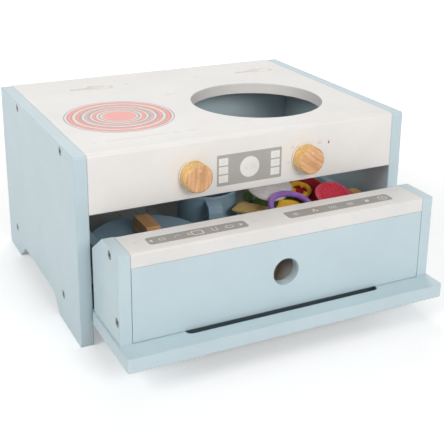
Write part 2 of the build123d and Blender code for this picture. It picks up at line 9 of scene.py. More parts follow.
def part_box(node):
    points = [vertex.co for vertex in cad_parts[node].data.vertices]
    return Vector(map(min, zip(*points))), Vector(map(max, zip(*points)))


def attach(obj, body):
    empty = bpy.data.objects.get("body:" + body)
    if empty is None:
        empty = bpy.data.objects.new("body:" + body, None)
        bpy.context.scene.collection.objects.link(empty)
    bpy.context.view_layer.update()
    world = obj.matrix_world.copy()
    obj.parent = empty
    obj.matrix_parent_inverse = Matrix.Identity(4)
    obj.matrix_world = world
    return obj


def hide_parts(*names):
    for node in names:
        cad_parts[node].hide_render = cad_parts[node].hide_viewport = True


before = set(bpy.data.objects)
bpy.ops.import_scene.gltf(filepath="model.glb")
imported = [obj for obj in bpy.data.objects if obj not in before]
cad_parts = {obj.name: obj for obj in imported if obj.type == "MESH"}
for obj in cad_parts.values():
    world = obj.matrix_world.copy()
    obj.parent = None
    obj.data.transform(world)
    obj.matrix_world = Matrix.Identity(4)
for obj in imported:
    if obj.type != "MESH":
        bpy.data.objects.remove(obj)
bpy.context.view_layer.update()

# Side panels and every other blue board: routed board, sprayed with a satin light blue.
# The spray leaves a fine orange peel, and is thin and a little lighter along each edge.
blue_paint_colour = (0.542, 0.662, 0.705, 1)
blue_thin_colour = (0.62, 0.71, 0.74, 1)
blue_boards = [
    "left_side_panel", "right_side_panel", "bottom_board", "back_panel",
    "left_cheek", "right_cheek", "front_panel",
]


def new_group(name, inputs, outputs):
    """An empty shader node group, with what it is given and the node that ends it."""
    group = bpy.data.node_groups.new(name, "ShaderNodeTree")
    for socket, kind, value in inputs:
        made = group.interface.new_socket(socket, in_out="INPUT", socket_type=kind)
        made.default_value = value
    for socket, kind in outputs:
        group.interface.new_socket(socket, in_out="OUTPUT", socket_type=kind)
    return group, group.nodes.new("NodeGroupInput").outputs, group.nodes.new("NodeGroupOutput")


def add_node(tree, kind, settings=None, **inputs):
    """A node with its settings, and its sockets filled with values or linked to other sockets."""
    node = tree.nodes.new(kind)
    for key, value in (settings or {}).items():
        setattr(node, key, value)
    for key, value in inputs.items():
        socket = node.inputs[int(key[1:]) if key[0] == "s" and key[1:].isdigit() else key.replace("_", " ")]
        if isinstance(value, bpy.types.NodeSocket):
            tree.links.new(value, socket)
        else:
            socket.default_value = value
    return node


def reckon(tree, operation, first, second=0.0, clamp=False):
    """The outcome of one sum on two values."""
    return add_node(tree, "ShaderNodeMath", {"operation": operation, "use_clamp": clamp},
                    s0=first, s1=second).outputs["Value"]


def remap(tree, value, low, high, to_low=0.0, to_high=1.0):
    """A value moved from one range to another."""
    return add_node(tree, "ShaderNodeMapRange", Value=value, From_Min=low, From_Max=high, To_Min=to_low,
                    To_Max=to_high).outputs["Result"]


def noise(tree, place, scale, detail, **values):
    """Cloudy noise between 0 and 1."""
    return add_node(tree, "ShaderNodeTexNoise", Vector=place, Scale=scale, Detail=detail,
                    **values).outputs["Fac"]


def tone(tree, colour, shade):
    """A colour made lighter or darker."""
    return add_node(tree, "ShaderNodeVectorMath", {"operation": "SCALE"}, s0=colour,
                    Scale=shade).outputs["Vector"]


def mix_colours(tree, share, first, second, blend="MIX"):
    """Two colours mixed, with the second one where the share is 1."""
    return add_node(tree, "ShaderNodeMix", {"data_type": "RGBA", "blend_type": blend}, s0=share, s6=first,
                    s7=second).outputs[2]


def bump(tree, height, distance, **values):
    """The normal of a surface that is raised by a height."""
    return add_node(tree, "ShaderNodeBump", Distance=distance, Height=height, **values).outputs["Normal"]


def object_place(tree):
    """The place on the piece, in metres."""
    return add_node(tree, "ShaderNodeTexCoord").outputs["Object"]


def wire(tree, node, **sources):
    """Links outputs to a node's named inputs."""
    for key, source in sources.items():
        tree.links.new(source, node.inputs[key.replace("_", " ")])


def make_sprayed_paint():
    """Colour, roughness and normal of a sprayed board, with thin paint along its edges."""
    tree, given, result = new_group(
        "sprayed_paint",
        [
            ("Paint", "NodeSocketColor", (1, 1, 1, 1)),
            ("Thin paint", "NodeSocketColor", (1, 1, 1, 1)),
            ("Edge radius", "NodeSocketFloat", 0.0012),
            ("Edge wear", "NodeSocketFloat", 0.5),
            ("Peel height", "NodeSocketFloat", 0.000025),
            ("Roughness", "NodeSocketFloat", 0.42),
        ],
        [("Color", "NodeSocketColor"), ("Roughness", "NodeSocketFloat"), ("Normal", "NodeSocketVector")],
    )
    place = object_place(tree)
    clouds = noise(tree, place, 14.0, 4.0, Roughness=0.6)
    peel = noise(tree, place, 620.0, 2.0, Roughness=0.5)
    specks = noise(tree, place, 190.0, 3.0, Roughness=0.7)
    rounded = add_node(tree, "ShaderNodeBevel", {"samples": 6},
                       Radius=given["Edge radius"]).outputs["Normal"]
    true_normal = add_node(tree, "ShaderNodeNewGeometry").outputs["Normal"]
    facing = add_node(tree, "ShaderNodeVectorMath", {"operation": "DOT_PRODUCT"}, s0=rounded, s1=true_normal)
    edge = remap(tree, facing.outputs["Value"], 0.995, 0.86)
    worn = reckon(tree, "MULTIPLY", edge, remap(tree, specks, 0.35, 0.62, 0.35, 1.0))
    wear = reckon(tree, "MULTIPLY", worn, given["Edge wear"], clamp=True)
    toned = tone(tree, given["Paint"], remap(tree, clouds, 0.3, 0.7, 0.965, 1.03))
    gloss = reckon(tree, "ADD", given["Roughness"], remap(tree, specks, 0.3, 0.7, -0.05, 0.07))
    wire(tree, result, Color=mix_colours(tree, wear, toned, given["Thin paint"]), Roughness=gloss,
         Normal=bump(tree, peel, given["Peel height"], Normal=rounded))
    return tree


sprayed_paint = make_sprayed_paint()


def new_material(name):
    """A node material with only its Principled BSDF and output."""
    material = bpy.data.materials.new(name)
    material.use_nodes = True
    return material, material.node_tree, material.node_tree.nodes["Principled BSDF"]


def painted(name, paint, thin, radius=0.0012, wear=0.5, peel=0.000025, roughness=0.42):
    """Sprayed paint of one colour."""
    material, tree, shader = new_material(name)
    finish = add_node(tree, "ShaderNodeGroup", {"node_tree": sprayed_paint}, Paint=paint, Thin_paint=thin,
                      Edge_radius=radius, Edge_wear=wear, Peel_height=peel, Roughness=roughness).outputs
    wire(tree, shader, Base_Color=finish["Color"], Roughness=finish["Roughness"], Normal=finish["Normal"])
    shader.inputs["Coat Weight"].default_value = 0.08
    shader.inputs["Coat Roughness"].default_value = 0.3
    return material


def dress(material, *names):
    """Gives CAD pieces a finish."""
    for name in names:
        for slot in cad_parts[name].material_slots:
            slot.material = material


blue_paint = painted("blue_paint", blue_paint_colour, blue_thin_colour)
dress(blue_paint, *blue_boards)

# Base board: the same blue, with a long slot routed in front of the panel. The inside of the slot is
# painted a dark blue, as painted shade in the groove.
slot_painted_shade = (0.082, 0.118, 0.140, 1)
slot_from_lip, slot_half_length, shade_edge = 0.0140, 0.1172, 0.0004
base_low, base_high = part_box("front_base_board")
base_paint = painted("base_paint", blue_paint_colour, blue_thin_colour)
tree = base_paint.node_tree
shader = tree.nodes["Principled BSDF"]
sprayed_colour = shader.inputs["Base Color"].links[0].from_socket
parts = add_node(tree, "ShaderNodeSeparateXYZ", Vector=object_place(tree)).outputs
below_top = remap(tree, parts["Z"], base_high.z - shade_edge, base_high.z - 3 * shade_edge)
behind_lip = reckon(tree, "GREATER_THAN", parts["Y"], base_low.y + slot_from_lip)
within_ends = reckon(tree, "LESS_THAN", reckon(tree, "ABSOLUTE", parts["X"]), slot_half_length)
in_slot = reckon(tree, "MULTIPLY", reckon(tree, "MULTIPLY", behind_lip, within_ends), below_top)
# Painted shade: faces below the top, behind the lip and between the slot's ends take the dark blue.
wire(tree, shader, Base_Color=mix_colours(tree, in_slot, sprayed_colour, slot_painted_shade))
dress(base_paint, "front_base_board")

# Worktop, fascia and ledge: the same boards, sprayed white and lightly sanded between coats, so
# they are smoother than the blue ones and carry the prints. The ledge gets a greyer copy of the white,
# which paints in the shade that the cabinet casts on it.
white_paint_colour = (0.838, 0.812, 0.783, 1)
white_thin_colour = (0.89, 0.865, 0.83, 1)
white_paint = painted("white_paint", white_paint_colour, white_thin_colour, wear=0.35, peel=0.000012,
                      roughness=0.36)
dress(white_paint, "worktop", "fascia")
# Painted shade: the ledge's greyer white stands for the cabinet's shadow on it.
ledge_paint = painted("ledge_paint", (0.775, 0.752, 0.725, 1), (0.82, 0.80, 0.77, 1), wear=0.35,
                      peel=0.000012, roughness=0.36)
dress(ledge_paint, "control_ledge")

# Hob print: rings screen-printed on the worktop in pink, rose, cream, white and grey inks. Each ring
# is a film of ink a few hundredths of a millimetre thick, and a solid pink disc fills the middle.
ink_thickness = 0.00004
hob_centre = (-0.1079, 0.0210)
hob_middle_radius = 19.6
ink_pink = ("pink", (0.900, 0.400, 0.370, 1))
ink_cream = ("cream", (0.890, 0.830, 0.730, 1))
ink_white = ("white", (0.900, 0.860, 0.840, 1))
ink_grey = ("grey", (0.520, 0.495, 0.465, 1))
ink_rose = ("rose", (0.800, 0.500, 0.490, 1))
hob_rings = [
    ("edge_line", 0.0636, 0.0012, ink_grey),
    ("pale_gap", 0.0622, 0.0024, ink_white),
    ("wide_ring", 0.0597, 0.0060, ink_pink),
    ("cream_ring", 0.0536, 0.0040, ink_cream),
    ("second_ring", 0.0495, 0.0048, ink_pink),
    ("second_line", 0.0446, 0.0018, ink_grey),
    ("white_ring", 0.0427, 0.0027, ink_white),
    ("rose_ring", 0.0399, 0.0043, ink_rose),
    ("rose_line", 0.0355, 0.0020, ink_grey),
    ("inner_cream", 0.0334, 0.0024, ink_cream),
    ("third_ring", 0.0309, 0.0044, ink_pink),
    ("inner_white", 0.0264, 0.0025, ink_white),
    ("fourth_line", 0.0238, 0.0022, ink_grey),
    ("last_cream", 0.0215, 0.0017, ink_cream),
]


def printed_ink(name, colour):
    """Matt screen ink: even, with a faint mesh pattern and pin-holes."""
    material, tree, shader = new_material(name)
    place = object_place(tree)
    mesh_marks = noise(tree, place, 1500.0, 2.0)
    both = reckon(tree, "ADD", mesh_marks, noise(tree, place, 60.0, 3.0))
    wire(tree, shader, Base_Color=tone(tree, colour[:3], remap(tree, both, 0.7, 1.3, 0.95, 1.04)),
         Normal=bump(tree, mesh_marks, 0.00001))
    shader.inputs["Roughness"].default_value = 0.5
    return material


def new_tree(name, inputs):
    """The same for a Geometry Nodes tree, which gives back one mesh."""
    tree = bpy.data.node_groups.new(name, "GeometryNodeTree")
    for socket, kind, value in inputs:
        made = tree.interface.new_socket(socket, in_out="INPUT", socket_type=kind)
        if value is not None:
            made.default_value = value
    tree.interface.new_socket("Geometry", in_out="OUTPUT", socket_type="NodeSocketGeometry")
    return tree, tree.nodes.new("NodeGroupInput").outputs, tree.nodes.new("NodeGroupOutput")


def end_tree(tree, given, result, geometry):
    """Closes a tree with Realize Instances and Set Material."""
    real = add_node(tree, "GeometryNodeRealizeInstances", Geometry=geometry)
    coated = add_node(tree, "GeometryNodeSetMaterial", Geometry=real.outputs["Geometry"],
                      Material=given["Material"])
    tree.links.new(coated.outputs["Geometry"], result.inputs["Geometry"])


def place_object(name, data):
    """A new object at the origin, in the scene."""
    piece = bpy.data.objects.new(name, data)
    bpy.context.scene.collection.objects.link(piece)
    return piece


def grow(name, tree, base=None, **values):
    """Runs a tree on an empty or given mesh and returns the result as a plain object."""
    draft = place_object(name + "_draft", base or bpy.data.meshes.new(name + "_draft"))
    modifier = draft.modifiers.new(name, "NODES")
    modifier.node_group = tree
    for item in tree.interface.items_tree:
        if item.in_out == "INPUT" and item.name.replace(" ", "_") in values:
            modifier[item.identifier] = values[item.name.replace(" ", "_")]
    depsgraph = bpy.context.evaluated_depsgraph_get()
    mesh = bpy.data.meshes.new_from_object(draft.evaluated_get(depsgraph))
    draft.modifiers.remove(modifier)
    bpy.data.objects.remove(draft)
    return place_object(name, mesh)


def make_ring_tree():
    """One printed ring: a circle swept with a flat strip of ink."""
    tree, given, result = new_tree("printed_ring", [
        ("Centre", "NodeSocketVector", (0, 0, 0)),
        ("Radius", "NodeSocketFloat", 0.02),
        ("Line width", "NodeSocketFloat", 0.001),
        ("Ink thickness", "NodeSocketFloat", 0.00004),
        ("Steps", "NodeSocketInt", 128),
        ("Material", "NodeSocketMaterial", None),
    ])
    circle = add_node(tree, "GeometryNodeCurvePrimitiveCircle", Resolution=given["Steps"],
                      Radius=given["Radius"])
    strip = add_node(tree, "GeometryNodeCurvePrimitiveQuadrilateral",
                     Width=given["Line width"], Height=given["Ink thickness"])
    band = add_node(tree, "GeometryNodeCurveToMesh", Curve=circle.outputs["Curve"],
                    Profile_Curve=strip.outputs["Curve"])
    moved = add_node(tree, "GeometryNodeTransform", Geometry=band.outputs["Mesh"],
                     Translation=given["Centre"])
    end_tree(tree, given, result, moved.outputs["Geometry"])
    return tree


def outward(mesh):
    """Merges doubles and turns all faces outwards."""
    shape = bmesh.new()
    shape.from_mesh(mesh)
    bmesh.ops.remove_doubles(shape, verts=shape.verts, dist=0.000002)
    bmesh.ops.recalc_face_normals(shape, faces=shape.faces)
    shape.to_mesh(mesh)
    shape.free()


ring_tree = make_ring_tree()
inks = {}


def ink(name, colour):
    """The ink of one colour, made once."""
    if name not in inks:
        inks[name] = printed_ink("ink_" + name, colour)
    return inks[name]


z_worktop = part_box("worktop")[1].z
for ring_name, outer, width, colour in hob_rings:
    ring = grow("hob_" + ring_name, ring_tree, Centre=(*hob_centre, z_worktop + ink_thickness / 2),
                Radius=outer - width / 2, Line_width=width, Ink_thickness=ink_thickness, Steps=128,
                Material=ink(*colour))
    outward(ring.data)
    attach(ring, "cabinet")

# Other prints: touch marks on the worktop, a display and knob scales on the fascia, and two grey
# strips of programme signs on the ledge. They are drawn in millimetres as flat outlines, holes
# included, and each is printed as a film of ink.
MM = 0.001
board_turns = {"top": Matrix.Identity(3), "front": Matrix(((1, 0, 0), (0, 0, -1), (0, 1, 0)))}


def arc(x, y, radius, start=0, end=360, steps=40):
    """Points along an arc, in degrees; a full turn leaves out its last point."""
    count = steps if end - start == 360 else steps - 1
    turns = [math.radians(start + (end - start) * k / count) for k in range(steps)]
    return [(x + radius * math.cos(a), y + radius * math.sin(a)) for a in turns]


def ring_outline(x, y, radius, width):
    """The two edges of a ring of ink."""
    return [arc(x, y, radius + width / 2), arc(x, y, radius - width / 2)]


def box_outline(x, y, width, height, corner):
    """A rectangle with rounded corners, round its centre."""
    across, up = width / 2 - corner, height / 2 - corner
    turns = ((across, up, 0), (-across, up, 90), (-across, -up, 180), (across, -up, 270))
    return [point for dx, dy, start in turns for point in arc(x + dx, y + dy, corner, start, start + 90, 8)]


def frame_outline(x, y, width, height, corner, line):
    """The outline of a box as a line of ink."""
    return [box_outline(x, y, width + line, height + line, corner + line / 2),
            box_outline(x, y, width - line, height - line, max(corner - line / 2, 0.05))]


def stroke(points, width):
    """A line of ink along a few points, with round ends."""
    left, right = [], []
    for k, (x, y) in enumerate(points):
        before, after = points[max(k - 1, 0)], points[min(k + 1, len(points) - 1)]
        turn = math.atan2(after[1] - before[1], after[0] - before[0])
        dx, dy = -math.sin(turn) * width / 2, math.cos(turn) * width / 2
        left.append((x + dx, y + dy))
        right.append((x - dx, y - dy))
    first = math.degrees(math.atan2(points[1][1] - points[0][1], points[1][0] - points[0][0]))
    last = math.degrees(math.atan2(points[-1][1] - points[-2][1], points[-1][0] - points[-2][0]))
    end_cap = arc(*points[-1], width / 2, last + 90, last - 90, 8)
    start_cap = arc(*points[0], width / 2, first - 90, first - 270, 8)
    return left + end_cap + right[::-1] + start_cap


def print_ink(name, outlines, side, origin, material, body, layer=0):
    """Prints outlines, in millimetres, on the top or front of a board round an origin in metres."""
    curve = bpy.data.curves.new(name, "CURVE")
    curve.dimensions = "2D"
    curve.fill_mode = "BOTH"
    curve.extrude = ink_thickness / 2
    for outline in outlines:
        spline = curve.splines.new("POLY")
        spline.points.add(len(outline) - 1)
        for point, (u, v) in zip(spline.points, outline):
            point.co = (u * MM, v * MM, 0, 1)
        spline.use_cyclic_u = True
    draft = bpy.data.objects.new(name + "_draft", curve)
    mesh = bpy.data.meshes.new_from_object(draft)
    bpy.data.objects.remove(draft)
    lift = Vector((0, 0, ink_thickness * (layer + 0.5)))
    mesh.transform(Matrix.Translation(origin) @ board_turns[side].to_4x4() @ Matrix.Translation(lift))
    outward(mesh)
    mesh.materials.clear()
    mesh.materials.append(material)
    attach(place_object(name, mesh), body)


print_grey = ink("warm_grey", (0.425, 0.408, 0.382, 1))
print_pale = ink("pale_grey", (0.560, 0.555, 0.540, 1))
print_faint = ink("faint_grey", (0.720, 0.710, 0.690, 1))
print_white = ink("key_white", (0.850, 0.830, 0.800, 1))
print_dull = ink("sign_white", (0.740, 0.720, 0.690, 1))
knob_line_brown = ink("scale_brown", (0.450, 0.350, 0.330, 1))
print_red = ink("signal_red", (0.420, 0.060, 0.090, 1))
print_ink("hob_middle", [arc(0, 0, hob_middle_radius, steps=96)], "top", (*hob_centre, z_worktop),
          ink(*ink_pink), "cabinet")

# Touch row in front of the hob: a slide line in pale rose ink between a minus and a plus, and a
# lock-like ring, in grey. Small grey signs stand near the rear edge and beside the sink.
touch_rose = ink("touch_rose", (0.800, 0.620, 0.600, 1))
touch_grey = ink("touch_grey", (0.580, 0.570, 0.550, 1))
touch_from_front = 0.037
y_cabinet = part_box("fascia")[0].y
touch_origin = (0, y_cabinet + touch_from_front, z_worktop)
touch_marks = [
    stroke([(-166.6, 0), (-163.4, 0)], 1.1),
    stroke([(-150.9, 0), (-148.6, 0)], 1.1),
    stroke([(-77.0, 0), (-73.4, 0)], 1.1),
    arc(-70.4, 0, 1.0, steps=16),
    *ring_outline(-53.6, 0, 2.6, 0.6),
    stroke([(-59.6, -1.6), (-60.3, 0), (-59.6, 1.6)], 0.6),
    stroke([(-47.6, -1.6), (-46.9, 0), (-47.6, 1.6)], 0.6),
]
print_ink("touch_marks", touch_marks, "top", touch_origin, touch_grey, "cabinet")
print_ink("touch_line", [stroke([(-146.0, 0), (-82.0, 0)], 1.3)], "top", touch_origin, touch_rose, "cabinet")
rear_marks = [
    *[stroke([(x - reach, y), (x + reach, y)], 0.8) for reach, y in ((3, 253), (2, 256)) for x in (-49, 48)],
    *ring_outline(-20.5, 185, 2.4, 0.7),
    stroke([(-15.5, 185), (-9.5, 185)], 0.9),
]
print_ink("rear_marks", rear_marks, "top", (0, y_cabinet, z_worktop), touch_grey, "cabinet")

# Display on the fascia: a grey field with a round clock face and two columns of white keys. The
# digits are plain numbers.
display_centre = (-0.0018, y_cabinet, 0.1758)
display_size = (79.6, 35.4)
key_size, key_x, key_step = (11.2, 8.4), 31.9, 9.8
clock_radius = 11.9
display_field = [box_outline(0, 0, *display_size, 0.4)]
print_ink("display_field", display_field, "front", display_centre, print_grey, "cabinet")
keys = [box_outline(side * key_x, row * key_step, *key_size, 0.5)
        for side in (-1, 1) for row in (-1, 0, 1)]
print_ink("display_keys", keys, "front", display_centre, print_white, "cabinet", 1)
print_ink("display_clock", [arc(0, 0, clock_radius, steps=96)], "front", display_centre, print_white,
          "cabinet", 1)


def key_signs():
    """A small sign on each key: lines, a ring, a dot and an arrow."""
    signs = []
    x = -key_x
    signs += [stroke([(x - 2, key_step + dy), (x + 2, key_step + dy)], 0.5) for dy in (-1.5, 0, 1.5)]
    signs += ring_outline(x, 0, 2.0, 0.5)
    signs += [stroke([(x - 2, -key_step - 1), (x, -key_step + 1.4), (x + 2, -key_step - 1)], 0.5)]
    x = key_x
    signs += frame_outline(x, key_step, 4.0, 3.2, 0.6, 0.5)
    signs += [stroke([(x + dx, -1.8), (x + dx, 1.8)], 0.5) for dx in (-1.5, 0, 1.5)]
    signs += [stroke([(x - 2, -key_step + 1), (x, -key_step - 1.4), (x + 2, -key_step + 1)], 0.5)]
    return signs


print_ink("display_key_signs", key_signs(), "front", display_centre, print_faint, "cabinet", 2)


def segment_digits(text, height, x, y, line):
    """Plain seven-segment digits as separate strokes; a colon is two dots."""
    lit = {"0": "abcdef", "1": "bc", "2": "abdeg", "3": "abcdg"}
    half, wide, gap = height / 2, height * 0.5, line * 0.8
    outlines = []
    for sign in text:
        if sign == ":":
            outlines += [arc(x, y + dy, line * 0.7, steps=12) for dy in (-half / 2, half / 2)]
            x += line * 2.5
            continue
        ends = {
            "a": ((gap, half), (wide - gap, half)), "g": ((gap, 0), (wide - gap, 0)),
            "d": ((gap, -half), (wide - gap, -half)), "f": ((0, gap), (0, half - gap)),
            "b": ((wide, gap), (wide, half - gap)), "e": ((0, gap - half), (0, -gap)),
            "c": ((wide, gap - half), (wide, -gap)),
        }
        outlines += [stroke([(x + u, y + v) for u, v in ends[part]], line) for part in lit[sign]]
        x += wide + line * 2.6
    return outlines


print_ink("display_digits", segment_digits("12:30", 5.0, -8.2, 0, 0.55), "front", display_centre,
          print_faint, "cabinet", 2)

# Marks round the knobs on the fascia: a thin dark brown line just outside the left of each knob,
# small signs round the right one and a red drop at its hot end.
knob_centres = {side: (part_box(f"{side}_knob")[0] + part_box(f"{side}_knob")[1]) / 2
                for side in ("left", "right")}
for side, centre in knob_centres.items():
    origin = (centre.x, y_cabinet, centre.z)
    print_ink(f"{side}_knob_line", [stroke(arc(-0.6, 0, 17.4, 118, 236, 40), 0.5)], "front", origin,
              knob_line_brown, "cabinet")
right_origin = (knob_centres["right"].x, y_cabinet, knob_centres["right"].z)
scale_signs = [
    stroke([(-18.6, 13.4), (-15.4, 13.4)], 0.8), stroke([(-18.0, 15.6), (-16.0, 15.6)], 0.7),
    stroke([(15.6, 14.4), (20.6, 14.4)], 0.8), stroke([(16.6, 16.6), (19.6, 16.6)], 0.7),
    stroke([(-23.4, -3.4), (-20.4, -3.4)], 0.8), stroke([(-9.0, -19.4), (-5.4, -19.4)], 0.8),
]
print_ink("right_knob_signs", scale_signs, "front", right_origin, print_pale, "cabinet")
drop = arc(0, -0.8, 1.1, 150, 390, 24) + [(0.3, 1.6), (0, 2.4), (-0.3, 1.6)]
print_ink("right_knob_drop", [[(x + 30.2, y + 14.4) for x, y in drop]], "front", right_origin, print_red,
          "cabinet")

# Ledge prints: two warm grey strips with white signs. Left: arrows round four drink sizes. Right:
# five plain programme signs and a ring at the end.
ledge_low, ledge_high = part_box("control_ledge")
strip_from_front = 0.0211
strip_depth, strip_corner = 17.0, 4.0
ledge_origin = (0, ledge_low.y + strip_from_front, ledge_high.z)
strips = {"left": (-147.5, -37.5), "right": (9.7, 142.3)}
strip_grey = ink("strip_grey", (0.325, 0.308, 0.288, 1))
for side, (start, end) in strips.items():
    field = box_outline((start + end) / 2, 0, end - start, strip_depth, strip_corner)
    print_ink(f"{side}_strip", [field], "top", ledge_origin, strip_grey, "tray")


def cup(x, width, height, line):
    """A drink sign: an open cup, wide or tall."""
    side, foot = width / 2, height / 2
    return stroke([(x - side, foot), (x - side, -foot * 0.4), (x - side * 0.5, -foot),
                   (x + side * 0.5, -foot), (x + side, -foot * 0.4), (x + side, foot)], line)


def angles(steps):
    """Even steps round a full turn, in radians."""
    return [2 * math.pi * k / steps for k in range(steps)]


left_signs = [
    [(-146.0, 0), (-141.8, 2.6), (-141.8, -2.6)],
    [(-41.2, 0), (-45.4, 2.6), (-45.4, -2.6)],
    *frame_outline(-131.5, 0, 6.0, 4.6, 1.2, 0.7),
    stroke([(-118.5, -1.8), (-117.0, 1.2), (-114.0, 2.0), (-111.4, 1.2)], 0.7),
    *frame_outline(-93.0, 0, 11.5, 8.6, 1.6, 1.3),
    stroke([(-100.6, 2.2), (-103.4, 1.8), (-103.8, -1.2), (-100.6, -2.2)], 1.1),
    cup(-73.6, 5.0, 8.0, 0.9),
    *frame_outline(-57.0, 0, 8.6, 5.6, 2.6, 0.9),
]
print_ink("left_strip_signs", left_signs, "top", ledge_origin, print_dull, "tray", 1)
ring_x = 132.6
right_signs = [
    *[stroke([(21.6 + r * math.cos(a), r * math.sin(a)) for r in (1.2, 3.6)], 0.8) for a in angles(6)],
    *[arc(45.1 + 2.4 * math.cos(a), 2.4 * math.sin(a), 1.5, steps=20)
      for a in [math.radians(90 + 120 * k) for k in range(3)]],
    *[stroke([(x - 0.8, -3.0), (x + 0.8, -1.0), (x - 0.8, 1.0), (x + 0.8, 3.0)], 0.8)
      for x in (64.3, 67.5, 70.7)],
    *[stroke([(86.4, dy), (93.8, dy)], 0.8) for dy in (-2.4, 0, 2.4)],
    arc(111.8, -0.4, 2.6, steps=30),
    stroke([(107.6, 3.0), (110.4, 4.2)], 0.7), stroke([(116.0, 3.0), (113.2, 4.2)], 0.7),
    *ring_outline(ring_x, 0, 4.8, 1.0),
    stroke([(ring_x, -2.2), (ring_x, 2.2)], 1.0),
]
print_ink("right_strip_signs", right_signs, "top", ledge_origin, print_dull, "tray", 1)
ledge_dots = [arc(-158.9, 2.6, 1.0, steps=14), arc(-156.4, 2.6, 0.7, steps=14),
              *ring_outline(-27.6, 2.0, 1.6, 0.5), arc(-24.2, 2.0, 0.6, steps=12)]
print_ink("ledge_marks", ledge_dots, "top", ledge_origin, print_pale, "tray")

# Screws, bolts and nuts: steel with a dark plating, driven into the boards or through the fascia.
# Their colour is darker than plain plating, which paints in the shade round the heads.
# The plating is slightly cloudy and brighter where a driver has rubbed it.
steel_screws = [
    "left_panel_screws", "right_panel_screws", "left_runner_screws", "right_runner_screws",
    "left_cheek_screws", "right_cheek_screws", "left_base_screws", "right_base_screws",
    "left_wall_screws", "right_wall_screws", "left_knob_bolt", "left_knob_nut",
    "right_knob_bolt", "right_knob_nut",
]
# Both tones are darker than bare plating: partly the plating, partly painted shade round the heads.
steel_dark_with_shade, steel_pale_with_shade = (0.17, 0.18, 0.19, 1), (0.30, 0.30, 0.29, 1)


def plated_steel():
    """Dark plating, darkened further as painted shade, cloudy and finely scratched."""
    material, tree, shader = new_material("plated_steel")
    place = object_place(tree)
    clouds = noise(tree, place, 240.0, 4.0)
    scratches = noise(tree, place, 1300.0, 2.0, Distortion=1.5)
    wire(tree, shader, Base_Color=mix_colours(tree, clouds, steel_dark_with_shade, steel_pale_with_shade),
         Roughness=remap(tree, clouds, 0.0, 1.0, 0.26, 0.46), Normal=bump(tree, scratches, 0.00002))
    shader.inputs["Metallic"].default_value = 1.0
    return material


dress(plated_steel(), *steel_screws)

# Knobs: turned beech, oiled. The grain of the left knob stands upright and that of the right one
# lies at a slant. Their turned sides are smoother than their sawn faces, and are painted paler and
# more golden as painted light.
beech_light = (0.860, 0.500, 0.260, 1)
beech_dark = (0.500, 0.235, 0.095, 1)
side_painted_light = (1.10, 1.24, 0.86, 1)


def reckon_vector(tree, operation, first, second):
    """The outcome of one sum on two vectors."""
    return add_node(tree, "ShaderNodeVectorMath", {"operation": operation}, s0=first,
                    s1=second).outputs["Vector"]


def make_wood_grain():
    """Growth rings, pores and short flecks of a plain wood, drawn along the X axis of its vector."""
    tree, given, result = new_group(
        "wood_grain",
        [
            ("Vector", "NodeSocketVector", (0, 0, 0)),
            ("Light", "NodeSocketColor", (1, 1, 1, 1)),
            ("Dark", "NodeSocketColor", (0.5, 0.5, 0.5, 1)),
            ("Ring scale", "NodeSocketFloat", 130.0),
            ("Ring strength", "NodeSocketFloat", 0.6),
            ("Pore depth", "NodeSocketFloat", 0.00004),
        ],
        [("Color", "NodeSocketColor"), ("Roughness", "NodeSocketFloat"), ("Normal", "NodeSocketVector")],
    )
    along = reckon_vector(tree, "MULTIPLY", given["Vector"], (0.07, 1.0, 1.0))
    wander = add_node(tree, "ShaderNodeTexNoise", Vector=along, Scale=26.0, Detail=2.0).outputs["Color"]
    ring_place = reckon_vector(tree, "ADD", along, tone(tree, wander, 0.018))
    rings = noise(tree, ring_place, given["Ring scale"], 3.0, Roughness=0.55)
    flecks_place = reckon_vector(tree, "MULTIPLY", given["Vector"], (0.16, 1.0, 1.0))
    pores = remap(tree, noise(tree, flecks_place, 1500.0, 1.0), 0.60, 0.72, 0.0, 0.45)
    share = reckon(tree, "MULTIPLY", remap(tree, rings, 0.34, 0.66), given["Ring strength"],
                   clamp=True)
    darker = reckon(tree, "ADD", share, pores, clamp=True)
    wire(tree, result, Color=mix_colours(tree, darker, given["Light"], given["Dark"]),
         Roughness=remap(tree, darker, 0.0, 1.0, 0.38, 0.55),
         Normal=bump(tree, reckon(tree, "SUBTRACT", 1.0, darker), given["Pore depth"]))
    return tree


wood_grain = make_wood_grain()


def wooden(name, light, dark, turn=(0, 0, 0), ring_scale=130.0, ring_strength=0.6, pore_depth=0.00004,
           centre=(0, 0, 0)):
    """Oiled wood whose grain runs along X before it is turned."""
    material, tree, shader = new_material(name)
    turned = add_node(tree, "ShaderNodeMapping", {"vector_type": "TEXTURE"}, Vector=object_place(tree),
                      Rotation=turn, Location=centre)
    grain = add_node(tree, "ShaderNodeGroup", {"node_tree": wood_grain}, Vector=turned.outputs["Vector"],
                     Light=light, Dark=dark, Ring_scale=ring_scale, Ring_strength=ring_strength,
                     Pore_depth=pore_depth).outputs
    wire(tree, shader, Base_Color=grain["Color"], Roughness=grain["Roughness"], Normal=grain["Normal"])
    return material


knob_grain_turns = {"left": (0, math.radians(-84), 0), "right": (0, math.radians(38), 0)}
dimple_radius, dimple_up = 0.0010, 0.0098
for side, centre in knob_centres.items():
    wood = wooden(f"{side}_knob_beech", beech_light, beech_dark, knob_grain_turns[side], centre=tuple(centre),
                  ring_scale=380.0, ring_strength=0.72)
    tree = wood.node_tree
    shader = tree.nodes["Principled BSDF"]
    grain_colour = shader.inputs["Base Color"].links[0].from_socket
    # Painted light: the sides, facing away from the front, are tinted paler and more golden.
    normal = add_node(tree, "ShaderNodeNewGeometry").outputs["Normal"]
    towards_front = add_node(tree, "ShaderNodeSeparateXYZ", Vector=normal).outputs["Y"]
    sideways_light_share = remap(tree, towards_front, -0.8, -0.3)
    wire(tree, shader, Base_Color=mix_colours(tree, sideways_light_share, grain_colour, side_painted_light, "MULTIPLY"))
    dress(wood, f"{side}_knob")

